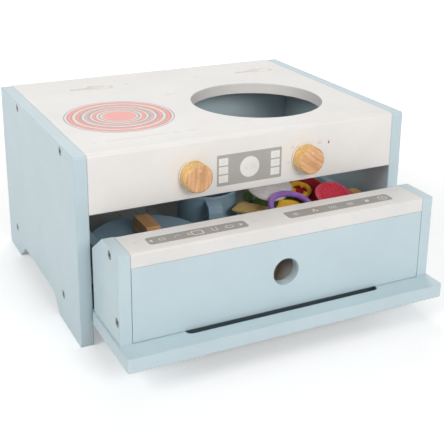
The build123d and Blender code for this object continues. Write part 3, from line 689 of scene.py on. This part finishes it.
# Pointers: a small pale dot pressed into each knob's face above its middle, which shows where the
# knob stands on its scale. A shallow turned button of light ink, a tenth of a millimetre proud.
dot_rise, dot_steps = 0.00012, 24


def bridge(shape, loops):
    """Joins closed rows of corners, each to the next."""
    for lower, upper in zip(loops, loops[1:]):
        for k in range(len(lower)):
            following = (k + 1) % len(lower)
            shape.faces.new((lower[k], lower[following], upper[following], upper[k]))


def piece_from(name, shape, material, place=None):
    """A finished piece from its corners and faces; one that is given a place is smooth."""
    mesh = bpy.data.meshes.new(name)
    shape.to_mesh(mesh)
    shape.free()
    if place is not None:
        mesh.transform(place)
        for face in mesh.polygons:
            face.use_smooth = True
    mesh.materials.append(material)
    return place_object(name, mesh)


for side, centre in knob_centres.items():
    face_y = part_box(f"{side}_knob")[0].y
    shape = bmesh.new()
    profile = ((dimple_radius, 0.0002), (dimple_radius, -dot_rise * 0.4), (dimple_radius * 0.7, -dot_rise))
    loops = [[shape.verts.new((centre.x + radius * math.cos(a), face_y + depth,
                               centre.z + dimple_up + radius * math.sin(a))) for a in angles(dot_steps)]
             for radius, depth in profile]
    bridge(shape, loops)
    shape.faces.new(loops[0])
    shape.faces.new(loops[-1])
    bmesh.ops.recalc_face_normals(shape, faces=shape.faces)
    dot = piece_from(f"{side}_knob_dot", shape, ink("dot_cream", (0.86, 0.66, 0.46, 1)))
    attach(dot, f"{side}_knob")

# Runners and dowels: plain beech strips screwed inside the side panels for the tray to hang on, and
# fluted dowels glued into the boards. They are unpainted, and their grain runs along their length.
runner_wood = wooden("runner_beech", (0.70, 0.52, 0.33, 1), (0.52, 0.34, 0.19, 1),
                     (0, 0, math.radians(90)), ring_scale=160.0, ring_strength=0.5)
dowel_wood = wooden("dowel_beech", (0.72, 0.54, 0.35, 1), (0.55, 0.37, 0.21, 1), ring_scale=200.0,
                    ring_strength=0.4)
dress(runner_wood, "left_runner", "right_runner")
dress(dowel_wood, "board_dowels")

# Tray box: two side walls and a rear wall of thin plywood, sprayed with the same light blue a shade
# greyer, round a floor of bare grey-brown plywood.
tray_paint = painted("tray_paint", (0.420, 0.560, 0.620, 1), (0.52, 0.62, 0.66, 1), radius=0.0008, wear=0.6,
                     peel=0.00002, roughness=0.5)
dress(tray_paint, "left_tray_wall", "right_tray_wall", "tray_rear_wall")
floor_ply = wooden("tray_plywood", (0.47, 0.44, 0.40, 1), (0.33, 0.30, 0.27, 1), (0, 0, math.radians(90)),
                   ring_scale=95.0, ring_strength=0.55)
dress(floor_ply, "tray_floor")

# Pots: the saucepan, the casserole with its lid and the frying pan are turned from wood and
# sprayed a satin grey-blue, so their rims are slightly rubbed.
pot_paint = painted("pot_paint", (0.350, 0.510, 0.630, 1), (0.46, 0.59, 0.68, 1), radius=0.0010, wear=0.55,
                    peel=0.00002, roughness=0.38)
dress(pot_paint, "pot", "casserole", "casserole_lid", "frying_pan", "pot_handle", "casserole_handles")

# Wooden bars: the grip on the lid and the long handle of the frying pan are oiled beech, with
# the grain along the bar.
handle_light = (0.92, 0.50, 0.22, 1)
handle_dark = (0.62, 0.29, 0.10, 1)
for name, turn in (("lid_handle", 90), ("pan_handle", -129.8)):
    grip = wooden(name + "_beech", handle_light, handle_dark, (0, 0, math.radians(turn)), ring_scale=150.0)
    dress(grip, name)

# Felt food: every slice is cut from wool felt and sewn by hand, most of them from two layers with
# wadding between. They lie in the pan and lean on one another. This is the felt they are cut from.
def make_felt():
    """Matted wool: fine fibres that cross each other, with small pills and a cloudy dye."""
    tree, given, result = new_group(
        "wool_felt",
        [("Wool", "NodeSocketColor", (1, 1, 1, 1)), ("Fibre scale", "NodeSocketFloat", 900.0),
         ("Fibre height", "NodeSocketFloat", 0.00022)],
        [("Color", "NodeSocketColor"), ("Normal", "NodeSocketVector")],
    )
    place = object_place(tree)
    fibres = []
    for turn, squeeze in (((0.4, 0.7, 1.1), (1.0, 0.25, 1.0)), ((1.3, 0.2, 0.5), (0.25, 1.0, 1.0))):
        combed = add_node(tree, "ShaderNodeMapping", Vector=place, Rotation=turn,
                          Scale=squeeze).outputs["Vector"]
        fibres.append(noise(tree, combed, given["Fibre scale"], 3.0, Roughness=0.6, Distortion=0.6))
    mat = reckon(tree, "MULTIPLY", *fibres)
    pills = add_node(tree, "ShaderNodeTexVoronoi", Vector=place, Scale=260.0,
                     Randomness=1.0).outputs["Distance"]
    height = reckon(tree, "ADD", mat, remap(tree, pills, 0.0, 0.35, 0.25, 0.0))
    dyed = remap(tree, noise(tree, place, 95.0, 3.0), 0.3, 0.7, 0.94, 1.06)
    shade = reckon(tree, "MULTIPLY", remap(tree, mat, 0.12, 0.42, 0.80, 1.16), dyed)
    wire(tree, result, Color=tone(tree, given["Wool"], shade),
         Normal=bump(tree, height, given["Fibre height"]))
    return tree


wool_felt = make_felt()


def felt(name, colour, fibre_height=0.00022):
    """Dyed felt of one colour, with the pale sheen that wool has at a glancing angle."""
    material, tree, shader = new_material(name)
    wool = add_node(tree, "ShaderNodeGroup", {"node_tree": wool_felt}, Wool=colour,
                    Fibre_height=fibre_height).outputs
    wire(tree, shader, Base_Color=wool["Color"], Normal=wool["Normal"])
    shader.inputs["Roughness"].default_value = 0.95
    shader.inputs["Specular IOR Level"].default_value = 0.15
    shader.inputs["Sheen Weight"].default_value = 0.35
    shader.inputs["Sheen Roughness"].default_value = 0.45
    shader.inputs["Sheen Tint"].default_value = (*[min(1.0, c + 0.25) for c in colour[:3]], 1)
    return material


def wavy(radius, waves=(), seed=1):
    """Distance of an outline from its middle as a function of the angle, with soft waves."""
    draw = random.Random(seed)
    parts = [(count, depth, draw.uniform(0, 2 * math.pi)) for count, depth in waves]
    return lambda a: radius + sum(depth * math.sin(count * a + start) for count, depth, start in parts)


def path_round(reach, height, steps, middle=(0, 0)):
    """A closed path of points at a height, in a slice's own plane."""
    return [(middle[0] + reach(a) * math.cos(a), middle[1] + reach(a) * math.sin(a), height)
            for a in angles(steps)]


seam_rows = ((0.62, 0.52), (0.18, 0.50), (0.0, 0.0), (0.18, -0.50), (0.62, -0.52))
rim_drop = 0.9


def sewn_slice(name, reach, thickness, place, material, crown=0.25, seam_in=0.0024, steps=96, rings=7,
               lift=None):
    """A stuffed slice: two layers sewn together round the rim, with a tucked seam and a soft crown.

    reach gives the outline, crown the share of the thickness that is lost towards the rim, and lift an
    optional height over the layer beneath. place turns and moves the slice onto its own layer. Each row
    of the seam is a share of the tuck and of half the thickness.
    """
    shape = bmesh.new()
    half = thickness / 2

    def row(distance, height, lifted=False):
        """A closed row of corners, with its distance from the middle at each angle."""
        return [shape.verts.new((x, y, z + (lift(x, y) if lift and lifted else 0)))
                for x, y, z in path_round(distance, half + height, steps)]

    upper, lower = [], []
    for k in range(1, rings + 1):
        share = k / rings
        height = half * (1 - crown * share ** 4) * (rim_drop if k == rings else 1)
        upper.append(row(lambda a: (reach(a) - seam_in) * share, height, True))
        lower.append(row(lambda a: (reach(a) - seam_in) * share, -height))
    seam = [row(lambda a: reach(a) - seam_in * inset, half * height) for inset, height in seam_rows]
    rows = upper + seam + lower[::-1]
    bridge(shape, rows)
    for rim, height in ((rows[0], thickness + (lift(0, 0) if lift else 0)), (rows[-1], 0)):
        middle = shape.verts.new((0, 0, height))
        for k in range(steps):
            shape.faces.new((rim[k], middle, rim[(k + 1) % steps]))
    bmesh.ops.recalc_face_normals(shape, faces=shape.faces)
    return piece_from(name, shape, material, place)


def second_felt(piece, place, material, chosen):
    """Faces whose middle, in the slice's own plane, is chosen get a second colour of felt."""
    piece.data.materials.append(material)
    inverse = place.inverted()
    for face in piece.data.polygons:
        face.material_index = int(chosen(inverse @ face.center))


def slice_place(node, turned=0.0):
    """Where a flat slice lies: its middle, its underside and its turn about Z, read from its node."""
    low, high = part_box(node)
    middle = (low + high) / 2
    turn = Matrix.Rotation(math.radians(turned), 4, "Z")
    return Matrix.Translation((middle.x, middle.y, low.z)) @ turn


pile_lean = 22.0


def leaning_place(node, thickness, tilt=pile_lean, reach=None):
    """The same for a slice whose rear edge is raised; reach finds one that isn't alike front and rear."""
    low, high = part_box(node)
    middle = (low + high) / 2
    turn = math.radians(tilt)
    if reach:
        middle.y = low.y + reach * math.cos(turn) + thickness / 2 * math.sin(turn)
        middle.z = low.z + reach * math.sin(turn) + thickness / 2 * math.cos(turn)
    sunk = Matrix.Translation((0, 0, -thickness / 2))
    return Matrix.Translation(middle) @ Matrix.Rotation(turn, 4, "X") @ sunk


def declare_food(piece, node):
    """A finished slice goes on the tray, and its node is hidden."""
    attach(piece, "tray")
    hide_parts(node)


# Thread: most slices are oversewn round the rim with cotton in a like shade, one whip stitch each
# few millimetres, and details such as seeds and a midrib are single stitches on top.
def make_stitch_row():
    """Stitches set along a closed or open path, each one a bent length of thread."""
    tree, given, result = new_tree("stitch_row", [
        ("Path", "NodeSocketGeometry", None),
        ("Stitches", "NodeSocketInt", 40),
        ("Face up", "NodeSocketVector", (0, 0, 1)),
        ("Stitch start", "NodeSocketVector", (0, 0.002, 0.002)),
        ("Stitch middle", "NodeSocketVector", (0, -0.002, 0)),
        ("Stitch end", "NodeSocketVector", (0, 0.002, -0.002)),
        ("Thread radius", "NodeSocketFloat", 0.00035),
        ("Unevenness", "NodeSocketFloat", 0.12),
        ("Hand", "NodeSocketInt", 1),
        ("Material", "NodeSocketMaterial", None),
    ])
    path = add_node(tree, "GeometryNodeMeshToCurve", Mesh=given["Path"])
    points = add_node(tree, "GeometryNodeCurveToPoints", {"mode": "COUNT"}, Curve=path.outputs["Curve"],
                      Count=given["Stitches"])
    upright = add_node(tree, "FunctionNodeAlignRotationToVector", {"axis": "Z"},
                       Vector=given["Face up"])
    along = add_node(tree, "FunctionNodeAlignRotationToVector", {"axis": "X", "pivot_axis": "Z"},
                     Rotation=upright.outputs["Rotation"], Vector=points.outputs["Tangent"])
    wobble = add_node(tree, "FunctionNodeRandomValue", {"data_type": "FLOAT"}, Seed=given["Hand"])
    tree.links.new(reckon(tree, "MULTIPLY", given["Unevenness"], -1.0), wobble.inputs[2])
    tree.links.new(given["Unevenness"], wobble.inputs[3])
    swing = add_node(tree, "ShaderNodeCombineXYZ", Z=wobble.outputs[1])
    turned = add_node(tree, "FunctionNodeRotateRotation", {"rotation_space": "LOCAL"},
                      Rotation=along.outputs["Rotation"], Rotate_By=swing.outputs["Vector"])
    thread_line = add_node(tree, "GeometryNodeCurveQuadraticBezier", Resolution=6,
                           Start=given["Stitch start"], Middle=given["Stitch middle"],
                           End=given["Stitch end"])
    section = add_node(tree, "GeometryNodeCurvePrimitiveCircle", Resolution=5,
                       Radius=given["Thread radius"])
    stitch = add_node(tree, "GeometryNodeCurveToMesh", Curve=thread_line.outputs["Curve"],
                      Profile_Curve=section.outputs["Curve"], Fill_Caps=True)
    row = add_node(tree, "GeometryNodeInstanceOnPoints", Points=points.outputs["Points"],
                   Instance=stitch.outputs["Mesh"], Rotation=turned.outputs["Rotation"])
    end_tree(tree, given, result, row.outputs["Instances"])
    return tree


stitch_row = make_stitch_row()
threads = {}
thread_radius = 0.00032


def thread(colour):
    """Cotton thread of one colour, made once."""
    key = tuple(round(c, 2) for c in colour)
    if key not in threads:
        material, tree, shader = new_material(f"thread_{len(threads) + 1}")
        plies = add_node(tree, "ShaderNodeTexWave", {"bands_direction": "DIAGONAL"},
                         Vector=object_place(tree), Scale=700.0, Distortion=1.0).outputs["Fac"]
        wire(tree, shader, Base_Color=tone(tree, colour[:3], remap(tree, plies, 0.0, 1.0, 0.78, 1.12)),
             Normal=bump(tree, plies, 0.0001))
        shader.inputs["Roughness"].default_value = 0.75
        threads[key] = material
    return threads[key]


def sew(name, path, place, count, start, middle, end, colour, closed=True, radius=thread_radius,
        unevenness=0.12):
    """Sews a row of stitches along a path, given in the slice's own plane in metres."""
    base = bpy.data.meshes.new(name + "_path")
    edges = [(k, k + 1) for k in range(len(path) - 1)] + ([(len(path) - 1, 0)] if closed else [])
    base.from_pydata([place @ Vector(point) for point in path], edges, [])
    up = place.to_3x3() @ Vector((0, 0, 1))
    row = grow(name, stitch_row, base, Stitches=count, Face_up=up, Stitch_start=start, Stitch_middle=middle,
               Stitch_end=end, Thread_radius=radius, Unevenness=unevenness, Hand=len(path) + count,
               Material=thread(colour))
    outward(row.data)
    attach(row, "tray")
    return row


def whip_rim(name, reach, thickness, place, colour, pitch=0.0042, inset=0.0030, part=1.0):
    """Whip stitches over the rim of a slice, from face to face or over the middle part of the rim."""
    half = thickness * part / 2
    rim = path_round(reach, half, 120)
    length = sum((Vector(p) - Vector(q)).length for p, q in zip(rim, rim[1:] + rim[:1]))
    place = place @ Matrix.Translation((0, 0, thickness * (1 - part) / 2))
    return sew(name, rim, place, max(8, round(length / pitch)), (0.0004, inset, half * 0.92),
               (0, -inset * 0.95, 0), (-0.0004, inset, -half * 0.92), colour)


# Toast: two thick slices of tan felt with a brown crust strip sewn round them. They are the
# base of the pile in the pan.
toast_tan = felt("felt_tan", (0.50, 0.34, 0.15, 1))
toast_crust = felt("felt_crust", (0.26, 0.125, 0.050, 1))
crust_low, crust_high = 0.16, 0.84


def rounded_square(half, power=7.0):
    """The outline of a slice of bread, as the distance at each angle."""
    return lambda a: half / (abs(math.cos(a)) ** power + abs(math.sin(a)) ** power) ** (1 / power)


for node in ("felt_toast_lower", "felt_toast_upper"):
    low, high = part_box(node)
    bread = rounded_square((high.x - low.x) / 2)
    bread_thickness = high.z - low.z
    place = slice_place(node)
    piece = sewn_slice(node + "_slice", bread, bread_thickness, place, toast_tan, crown=0.10, seam_in=0.0030)
    second_felt(piece, place, toast_crust,
                lambda centre: crust_low < centre.z / bread_thickness < crust_high)
    declare_food(piece, node)
    whip_rim(node + "_stitches", lambda a: bread(a) - 0.0004, bread_thickness, place, (0.30, 0.16, 0.07),
             pitch=0.006, part=0.82)

# Lettuce: one leaf of thin green felt, a single layer without stitches. It is cut with a wavy edge
# that lifts in soft ruffles.
lettuce_green = felt("felt_green", (0.120, 0.205, 0.050, 1), 0.00016)
lettuce_low, lettuce_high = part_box("felt_lettuce")
lettuce_radius = (lettuce_high.x - lettuce_low.x) / 2
lettuce_thickness = lettuce_high.z - lettuce_low.z
lettuce_cloth = 0.0014
lettuce_outline = wavy(lettuce_radius * 0.965, ((7, 0.0010), (11, 0.0007)), seed=4)
lettuce_turns, lettuce_rings = 144, 14


def lettuce_height(share, a):
    """Ruffles that grow towards the rim and stay within the leaf's own layer."""
    ruffle = 0.5 + 0.5 * math.sin(9 * a + 1.1 * math.sin(2 * a))
    return (lettuce_thickness - lettuce_cloth) * ruffle * share ** 3


shape = bmesh.new()
leaf_rows = []
for ring in range(1, lettuce_rings + 1):
    share = ring / lettuce_rings
    flat = path_round(lambda a: lettuce_outline(a) * share, 0, lettuce_turns)
    leaf_rows.append([shape.verts.new((x, y, lettuce_height(share, a)))
                      for (x, y, _), a in zip(flat, angles(lettuce_turns))])
for lower, upper in zip(leaf_rows, leaf_rows[1:]):
    for k in range(lettuce_turns):
        following = (k + 1) % lettuce_turns
        shape.faces.new((lower[k], upper[k], upper[following], lower[following]))
middle = shape.verts.new((0, 0, 0))
for k in range(lettuce_turns):
    shape.faces.new((middle, leaf_rows[0][k], leaf_rows[0][(k + 1) % lettuce_turns]))
bmesh.ops.recalc_face_normals(shape, faces=shape.faces)
if sum(face.normal.z for face in shape.faces) < 0:
    bmesh.ops.reverse_faces(shape, faces=shape.faces)
lettuce = piece_from("felt_lettuce_leaf", shape, lettuce_green, slice_place("felt_lettuce"))
cloth = lettuce.modifiers.new("felt_thickness", "SOLIDIFY")
cloth.thickness = lettuce_cloth
cloth.offset = 1.0
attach(lettuce, "tray")
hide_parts("felt_lettuce")

# Fried egg: two layers of white felt with a soft irregular outline, lightly stuffed. A small domed
# yolk of orange felt is sewn on near its rear edge.
egg_white = felt("felt_white", (0.86, 0.810, 0.785, 1))
yolk_orange = felt("felt_yolk", (0.86, 0.42, 0.040, 1))
egg_low, egg_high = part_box("felt_egg")
egg_half = ((egg_high.x - egg_low.x) / 2, 0.0250)
egg_thickness = 0.0040
yolk_radius, yolk_rise, yolk_middle = 0.0078, 0.0029, (0.005, 0.016)
yolk_from = 0.6
thread_lift = 0.0001
yellow_thread = (0.84, 0.50, 0.10)


def oval(a, half_long, half_wide):
    """The distance of an oval's edge from its middle."""
    return half_long * half_wide / math.hypot(half_wide * math.cos(a), half_long * math.sin(a))


def egg_outline(a):
    """An oval with three soft lobes, no larger than its node."""
    return oval(a, *egg_half) * (0.965 + 0.030 * math.sin(3 * a + 0.6))


def from_yolk(x, y):
    """The distance from the middle of the yolk."""
    return math.hypot(x - yolk_middle[0], y - yolk_middle[1])


def yolk_dome(x, y):
    """How far the yolk stands up, on its middle and down to its edge."""
    share = min(1.0, from_yolk(x, y) / yolk_radius)
    return yolk_rise * math.sqrt(max(0.0, 1 - share ** 2.6))


place = leaning_place("felt_egg", egg_thickness, reach=egg_half[1])
piece = sewn_slice("felt_egg_slice", egg_outline, egg_thickness, place, egg_white, rings=22, lift=yolk_dome)
second_felt(piece, place, yolk_orange, lambda centre: from_yolk(centre.x, centre.y) < yolk_radius
            and centre.z > egg_thickness * yolk_from)
declare_food(piece, "felt_egg")
whip_rim("felt_egg_stitches", egg_outline, egg_thickness, place, (0.84, 0.78, 0.74))
yolk_path = path_round(lambda a: yolk_radius, egg_thickness + thread_lift, 60, yolk_middle)
sew("felt_yolk_stitches", yolk_path, place, 16, (0, 0.0016, 0.0006), (0, 0, 0.0010), (0, -0.0012, 0),
    yellow_thread)

# Cheese: a stuffed slice of golden tan felt with rounded corners and a paler end. It lies askew
# over the rim of the lettuce.
cheese_tan = felt("felt_yellow_tan", (0.660, 0.440, 0.155, 1))
cheese_pale = felt("felt_pale_tan", (0.800, 0.540, 0.250, 1))
low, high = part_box("felt_cheese")
cheese_half, cheese_corner = (0.0220, 0.0155), 8.0
cheese_turn, pale_from = -50.0, 0.45
cheese_thickness = high.z - low.z


def cheese_outline(a):
    """A rectangle with rounded corners."""
    along, across = abs(math.cos(a)) / cheese_half[0], abs(math.sin(a)) / cheese_half[1]
    return 1 / (along ** cheese_corner + across ** cheese_corner) ** (1 / cheese_corner)


place = slice_place("felt_cheese", cheese_turn)
piece = sewn_slice("felt_cheese_slice", cheese_outline, cheese_thickness, place, cheese_tan, rings=10)
second_felt(piece, place, cheese_pale, lambda centre: centre.x > cheese_half[0] * pale_from)
declare_food(piece, "felt_cheese")
whip_rim("felt_cheese_stitches", cheese_outline, cheese_thickness, place, (0.62, 0.42, 0.16))

# Leaf: a small basil leaf, cut from two layers of green felt and lightly stuffed. Its midrib is one
# row of paler stitches.
low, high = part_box("felt_leaf")
leaf_half, leaf_turn, rib_half = (0.015, 0.007), math.radians(60), 0.0125
leaf_thickness = high.z - low.z


def leaf_outline(a):
    """A slim oval, slightly drawn out at its two ends."""
    u = a - leaf_turn
    return 0.97 * (1 + 0.04 * math.cos(2 * u)) * oval(u, *leaf_half)


place = slice_place("felt_leaf")
leaf_green = felt("felt_leaf_green", (0.085, 0.150, 0.032, 1))
piece = sewn_slice("felt_leaf_slice", leaf_outline, leaf_thickness, place, leaf_green, seam_in=0.0016)
declare_food(piece, "felt_leaf")
rib = [(s * rib_half * math.cos(leaf_turn), s * rib_half * math.sin(leaf_turn), leaf_thickness)
       for s in [-1 + k / 6 for k in range(13)]]
sew("felt_leaf_rib", rib, place, 8, (0.0012, 0, 0), (0, 0, 0.0006), (-0.0012, 0, 0), (0.20, 0.30, 0.10),
    closed=False)

# Beet: a stuffed round of crimson felt, oversewn at the rim. Its growth rings are two circles of
# darker stitches on top.
beet_crimson = felt("felt_crimson", (0.420, 0.018, 0.024, 1))
low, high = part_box("felt_beet")
beet_thickness = 0.0040
beet_outline = wavy((high.x - low.x) / 2 - 0.0003, ((5, 0.0003),), seed=8)
place = leaning_place("felt_beet", beet_thickness)
piece = sewn_slice("felt_beet_slice", beet_outline, beet_thickness, place, beet_crimson, rings=9)
declare_food(piece, "felt_beet")
whip_rim("felt_beet_stitches", beet_outline, beet_thickness, place, (0.36, 0.02, 0.04))
for number, radius in enumerate((0.010, 0.0165)):
    ring = path_round(lambda a: radius, beet_thickness + thread_lift, 60)
    sew(f"felt_beet_ring_{number + 1}", ring, place, 14 + 8 * number, (0.0014, 0, 0), (0, 0, 0.0006),
        (-0.0014, 0, 0), (0.17, 0.005, 0.015))


# Rings: the onion is a stuffed tube of purple felt, and the pepper slices are bands of yellow felt
# with lobes inside, each made from two layers sewn along both edges.
seam_band, seam_pinch = 0.4, 0.55


def sewn_ring(name, outer, inner, thickness, place, material, steps=144, sides=16, fullness=0.72):
    """A stuffed band between two outlines, pinched along the seam of its outer and inner edge."""
    shape = bmesh.new()
    loops = []
    for a in angles(steps):
        middle, half = (outer(a) + inner(a)) / 2, (outer(a) - inner(a)) / 2
        loop = []
        for b in angles(sides):
            u, v = math.cos(b), math.sin(b)
            distance = middle + math.copysign(abs(u) ** fullness, u) * half
            height = math.copysign(abs(v) ** fullness, v) * thickness / 2
            if abs(v) < seam_band:
                height *= seam_pinch
            loop.append(shape.verts.new((distance * math.cos(a), distance * math.sin(a),
                                         thickness / 2 + height)))
        loops.append(loop)
    for loop, following in zip(loops, loops[1:] + loops[:1]):
        for side in range(sides):
            other = (side + 1) % sides
            shape.faces.new((loop[side], following[side], following[other], loop[other]))
    bmesh.ops.recalc_face_normals(shape, faces=shape.faces)
    return piece_from(name, shape, material, place)


onion_purple = felt("felt_purple", (0.440, 0.210, 0.680, 1))
onion_radius, onion_band, onion_thickness = 0.0295, 0.007, 0.0065
place = leaning_place("felt_onion_ring", onion_thickness)
onion_outer = wavy(onion_radius - 0.0003, ((3, 0.0002),), seed=3)
piece = sewn_ring("felt_onion_band", onion_outer, lambda a: onion_outer(a) - onion_band, onion_thickness,
                  place, onion_purple)
declare_food(piece, "felt_onion_ring")
whip_rim("felt_onion_stitches", onion_outer, onion_thickness, place, (0.46, 0.26, 0.60), inset=0.0012,
         part=0.5)

pepper_yellow = felt("felt_pepper", (0.930, 0.520, 0.040, 1))
pepper_radius, pepper_band, pepper_thickness = 0.0155, 0.007, 0.0055
place = leaning_place("felt_pepper_ring", pepper_thickness)


def pepper_outer(a):
    """The skin, a little drawn in between its three lobes."""
    return pepper_radius - 0.0004 - 0.0008 * (0.5 - 0.5 * math.cos(3 * a + 0.5))


def pepper_inner(a):
    """The hollow, with a rib of flesh that grows inwards at each lobe."""
    lobe = max(0.0, -math.cos(3 * a + 0.5)) ** 6
    return pepper_radius - pepper_band + 0.0006 - 0.0040 * lobe


piece = sewn_ring("felt_pepper_band", pepper_outer, pepper_inner, pepper_thickness, place, pepper_yellow)
declare_food(piece, "felt_pepper_ring")
whip_rim("felt_pepper_stitches", pepper_outer, pepper_thickness, place, yellow_thread, inset=0.0012,
         part=0.5)

low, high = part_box("felt_pepper_strip")
strip_radius, strip_thickness = (high.x - low.x) / 2, 0.0055
place = leaning_place("felt_pepper_strip", strip_thickness)
strip_outline = wavy(strip_radius - 0.0016, ((5, 0.0010), (8, 0.0005)), seed=6)
piece = sewn_slice("felt_pepper_piece", strip_outline, strip_thickness, place, pepper_yellow, crown=0.4,
                   rings=8)
declare_food(piece, "felt_pepper_strip")
whip_rim("felt_pepper_piece_stitches", strip_outline, strip_thickness, place, yellow_thread)

# Tomato: a round of pink-red felt with a paler rim band and, inside it, two rings of darker seed
# stitches that point at its middle.
tomato_red = felt("felt_pink_red", (0.930, 0.075, 0.120, 1))
tomato_rim = felt("felt_tomato_rim", (0.950, 0.140, 0.220, 1))
tomato_radius, tomato_thickness, tomato_tilt = 0.024, 0.004, 24.0
place = leaning_place("felt_tomato", tomato_thickness, tomato_tilt)
tomato_outline = wavy(tomato_radius - 0.0002, ((4, 0.00015),), seed=11)
tomato_band_share = 0.84


def tomato_relief(x, y):
    """The rim band stands a little proud of the flesh."""
    share = math.hypot(x, y) / tomato_radius
    return -0.0005 * (1 - min(1.0, max(0.0, (share - tomato_band_share + 0.02) / 0.04)))


piece = sewn_slice("felt_tomato_slice", tomato_outline, tomato_thickness, place, tomato_red, crown=0.2,
                   rings=24, lift=tomato_relief)
second_felt(piece, place, tomato_rim,
            lambda centre: math.hypot(centre.x, centre.y) > tomato_radius * tomato_band_share)
declare_food(piece, "felt_tomato")
whip_rim("felt_tomato_stitches", tomato_outline, tomato_thickness, place, (0.86, 0.16, 0.24))
for number, (radius, count, length) in enumerate(((0.0160, 22, 0.0022), (0.0112, 13, 0.0016))):
    seeds = path_round(lambda a: radius, tomato_thickness - 0.0004, 72)
    sew(f"felt_tomato_seeds_{number + 1}", seeds, place, count, (0, length / 2, 0), (0, 0, 0.0009),
        (0, -length / 2, 0), (0.50, 0.02, 0.05), radius=0.00040, unevenness=0.35)

# Corn: a short stuffed piece of orange-tan felt with round ends, beside the tomato. One end is
# green felt, like the husk.
corn_orange = felt("felt_corn", (0.800, 0.430, 0.170, 1))
low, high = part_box("felt_corn")
corn_length, corn_width, corn_thickness = high.y - low.y, high.x - low.x, high.z - low.z
husk_from = 0.34


def corn_outline(a):
    """A bar with round ends."""
    straight, round_end = (corn_length - corn_width) / 2, corn_width / 2
    c, s = abs(math.cos(a)), abs(math.sin(a))
    if s > 0 and round_end / s * c <= straight:
        return round_end / s
    return straight * c + math.sqrt(max(0.0, round_end ** 2 - (straight * s) ** 2))


place = slice_place("felt_corn", 90.0)
piece = sewn_slice("felt_corn_slice", corn_outline, corn_thickness, place, corn_orange, seam_in=0.0016)
second_felt(piece, place, leaf_green, lambda centre: centre.x > corn_length * husk_from)
declare_food(piece, "felt_corn")
whip_rim("felt_corn_stitches", corn_outline, corn_thickness, place, (0.82, 0.50, 0.22), inset=0.0018)

# Studio: a pale floor, a pale world and three soft lamps, with the camera at the photograph's
# place. The floor and the world are lifted to white for the camera alone.
camera_place = (-0.4397, -0.9168, 0.5050)
camera_right = Vector((0.8979, -0.44011, 0.00904))
camera_up = Vector((0.13213, 0.28903, 0.94816))
camera_ahead = Vector((0.4199, 0.85016, -0.31767))
camera_lens, camera_shift_y = 72.94, -0.162
camera_data = bpy.data.cameras.new("studio_camera")
camera_data.lens = camera_lens
camera_data.sensor_width = 36
camera_data.shift_y = camera_shift_y
camera_data.clip_start = 0.01
camera = place_object("studio_camera", camera_data)
camera.matrix_world = Matrix.Translation(camera_place) @ Matrix(
    (camera_right, camera_up, -camera_ahead)).transposed().to_4x4()
bpy.context.scene.camera = camera

# Floor: one wide matt sheet. What the camera sees directly is lifted to white, more so far away from
# the lamps, and the shadow stays.
floor_reach = 12.0
floor_white = (0.88, 0.88, 0.88, 1)
near_glow, far_glow = 0.30, 0.85
near_floor, far_floor = 0.35, 2.2


def seen_directly(tree):
    """1 for what the camera or a gloss looks at, 0 for the light that falls on other things."""
    rays = add_node(tree, "ShaderNodeLightPath").outputs
    return reckon(tree, "MAXIMUM", rays["Is Camera Ray"], rays["Is Glossy Ray"])


shape = bmesh.new()
shape.faces.new([shape.verts.new((x * floor_reach, y * floor_reach, 0))
                 for x, y in ((-1, -1), (1, -1), (1, 1), (-1, 1))])
floor_material, tree, shader = new_material("studio_floor")
shader.inputs["Base Color"].default_value = floor_white
shader.inputs["Roughness"].default_value = 0.9
shader.inputs["Specular IOR Level"].default_value = 0.0
shader.inputs["Emission Color"].default_value = (1, 1, 1, 1)
from_middle = add_node(tree, "ShaderNodeVectorMath", {"operation": "LENGTH"}, s0=object_place(tree))
glow = remap(tree, from_middle.outputs["Value"], near_floor, far_floor, near_glow, far_glow)
wire(tree, shader, Emission_Strength=reckon(tree, "MULTIPLY", seen_directly(tree), glow))
piece_from("studio_floor", shape, floor_material)

# World: an even backdrop all round, white where the camera or a gloss looks at it, and dimmer as a
# light on the kitchen.
world_light = 0.32
world = bpy.data.worlds.new("studio_world")
world.use_nodes = True
bpy.context.scene.world = world
background = world.node_tree.nodes["Background"]
background.inputs["Color"].default_value = (1, 1, 1, 1)
wire(world.node_tree, background,
     Strength=remap(world.node_tree, seen_directly(world.node_tree), 0.0, 1.0, world_light, 1.0))

# Lamps: three large soft ones. The front one stands low enough to shine under the fascia onto the
# food, the left one lights the side panel, and the one behind lights the worktop.
kitchen_middle = Vector((0, -0.02, 0.10))


def soft_lamp(name, place, size, power):
    """A large soft lamp that faces the kitchen."""
    lamp_data = bpy.data.lights.new(name, "AREA")
    lamp_data.shape = "RECTANGLE"
    lamp_data.size, lamp_data.size_y = size
    lamp_data.energy = power
    lamp = place_object(name, lamp_data)
    lamp.location = place
    lamp.rotation_euler = (kitchen_middle - Vector(place)).to_track_quat("-Z", "Y").to_euler()


soft_lamp("front_lamp", (0.2, -2.2, 1.2), (1.0, 0.8), 24.5)
soft_lamp("left_lamp", (-2.0, -0.6, 1.5), (1.2, 1.2), 22.0)
soft_lamp("back_lamp", (0.7, 1.9, 2.2), (1.6, 1.2), 26.0)

bpy.context.scene.view_settings.view_transform = "Standard"
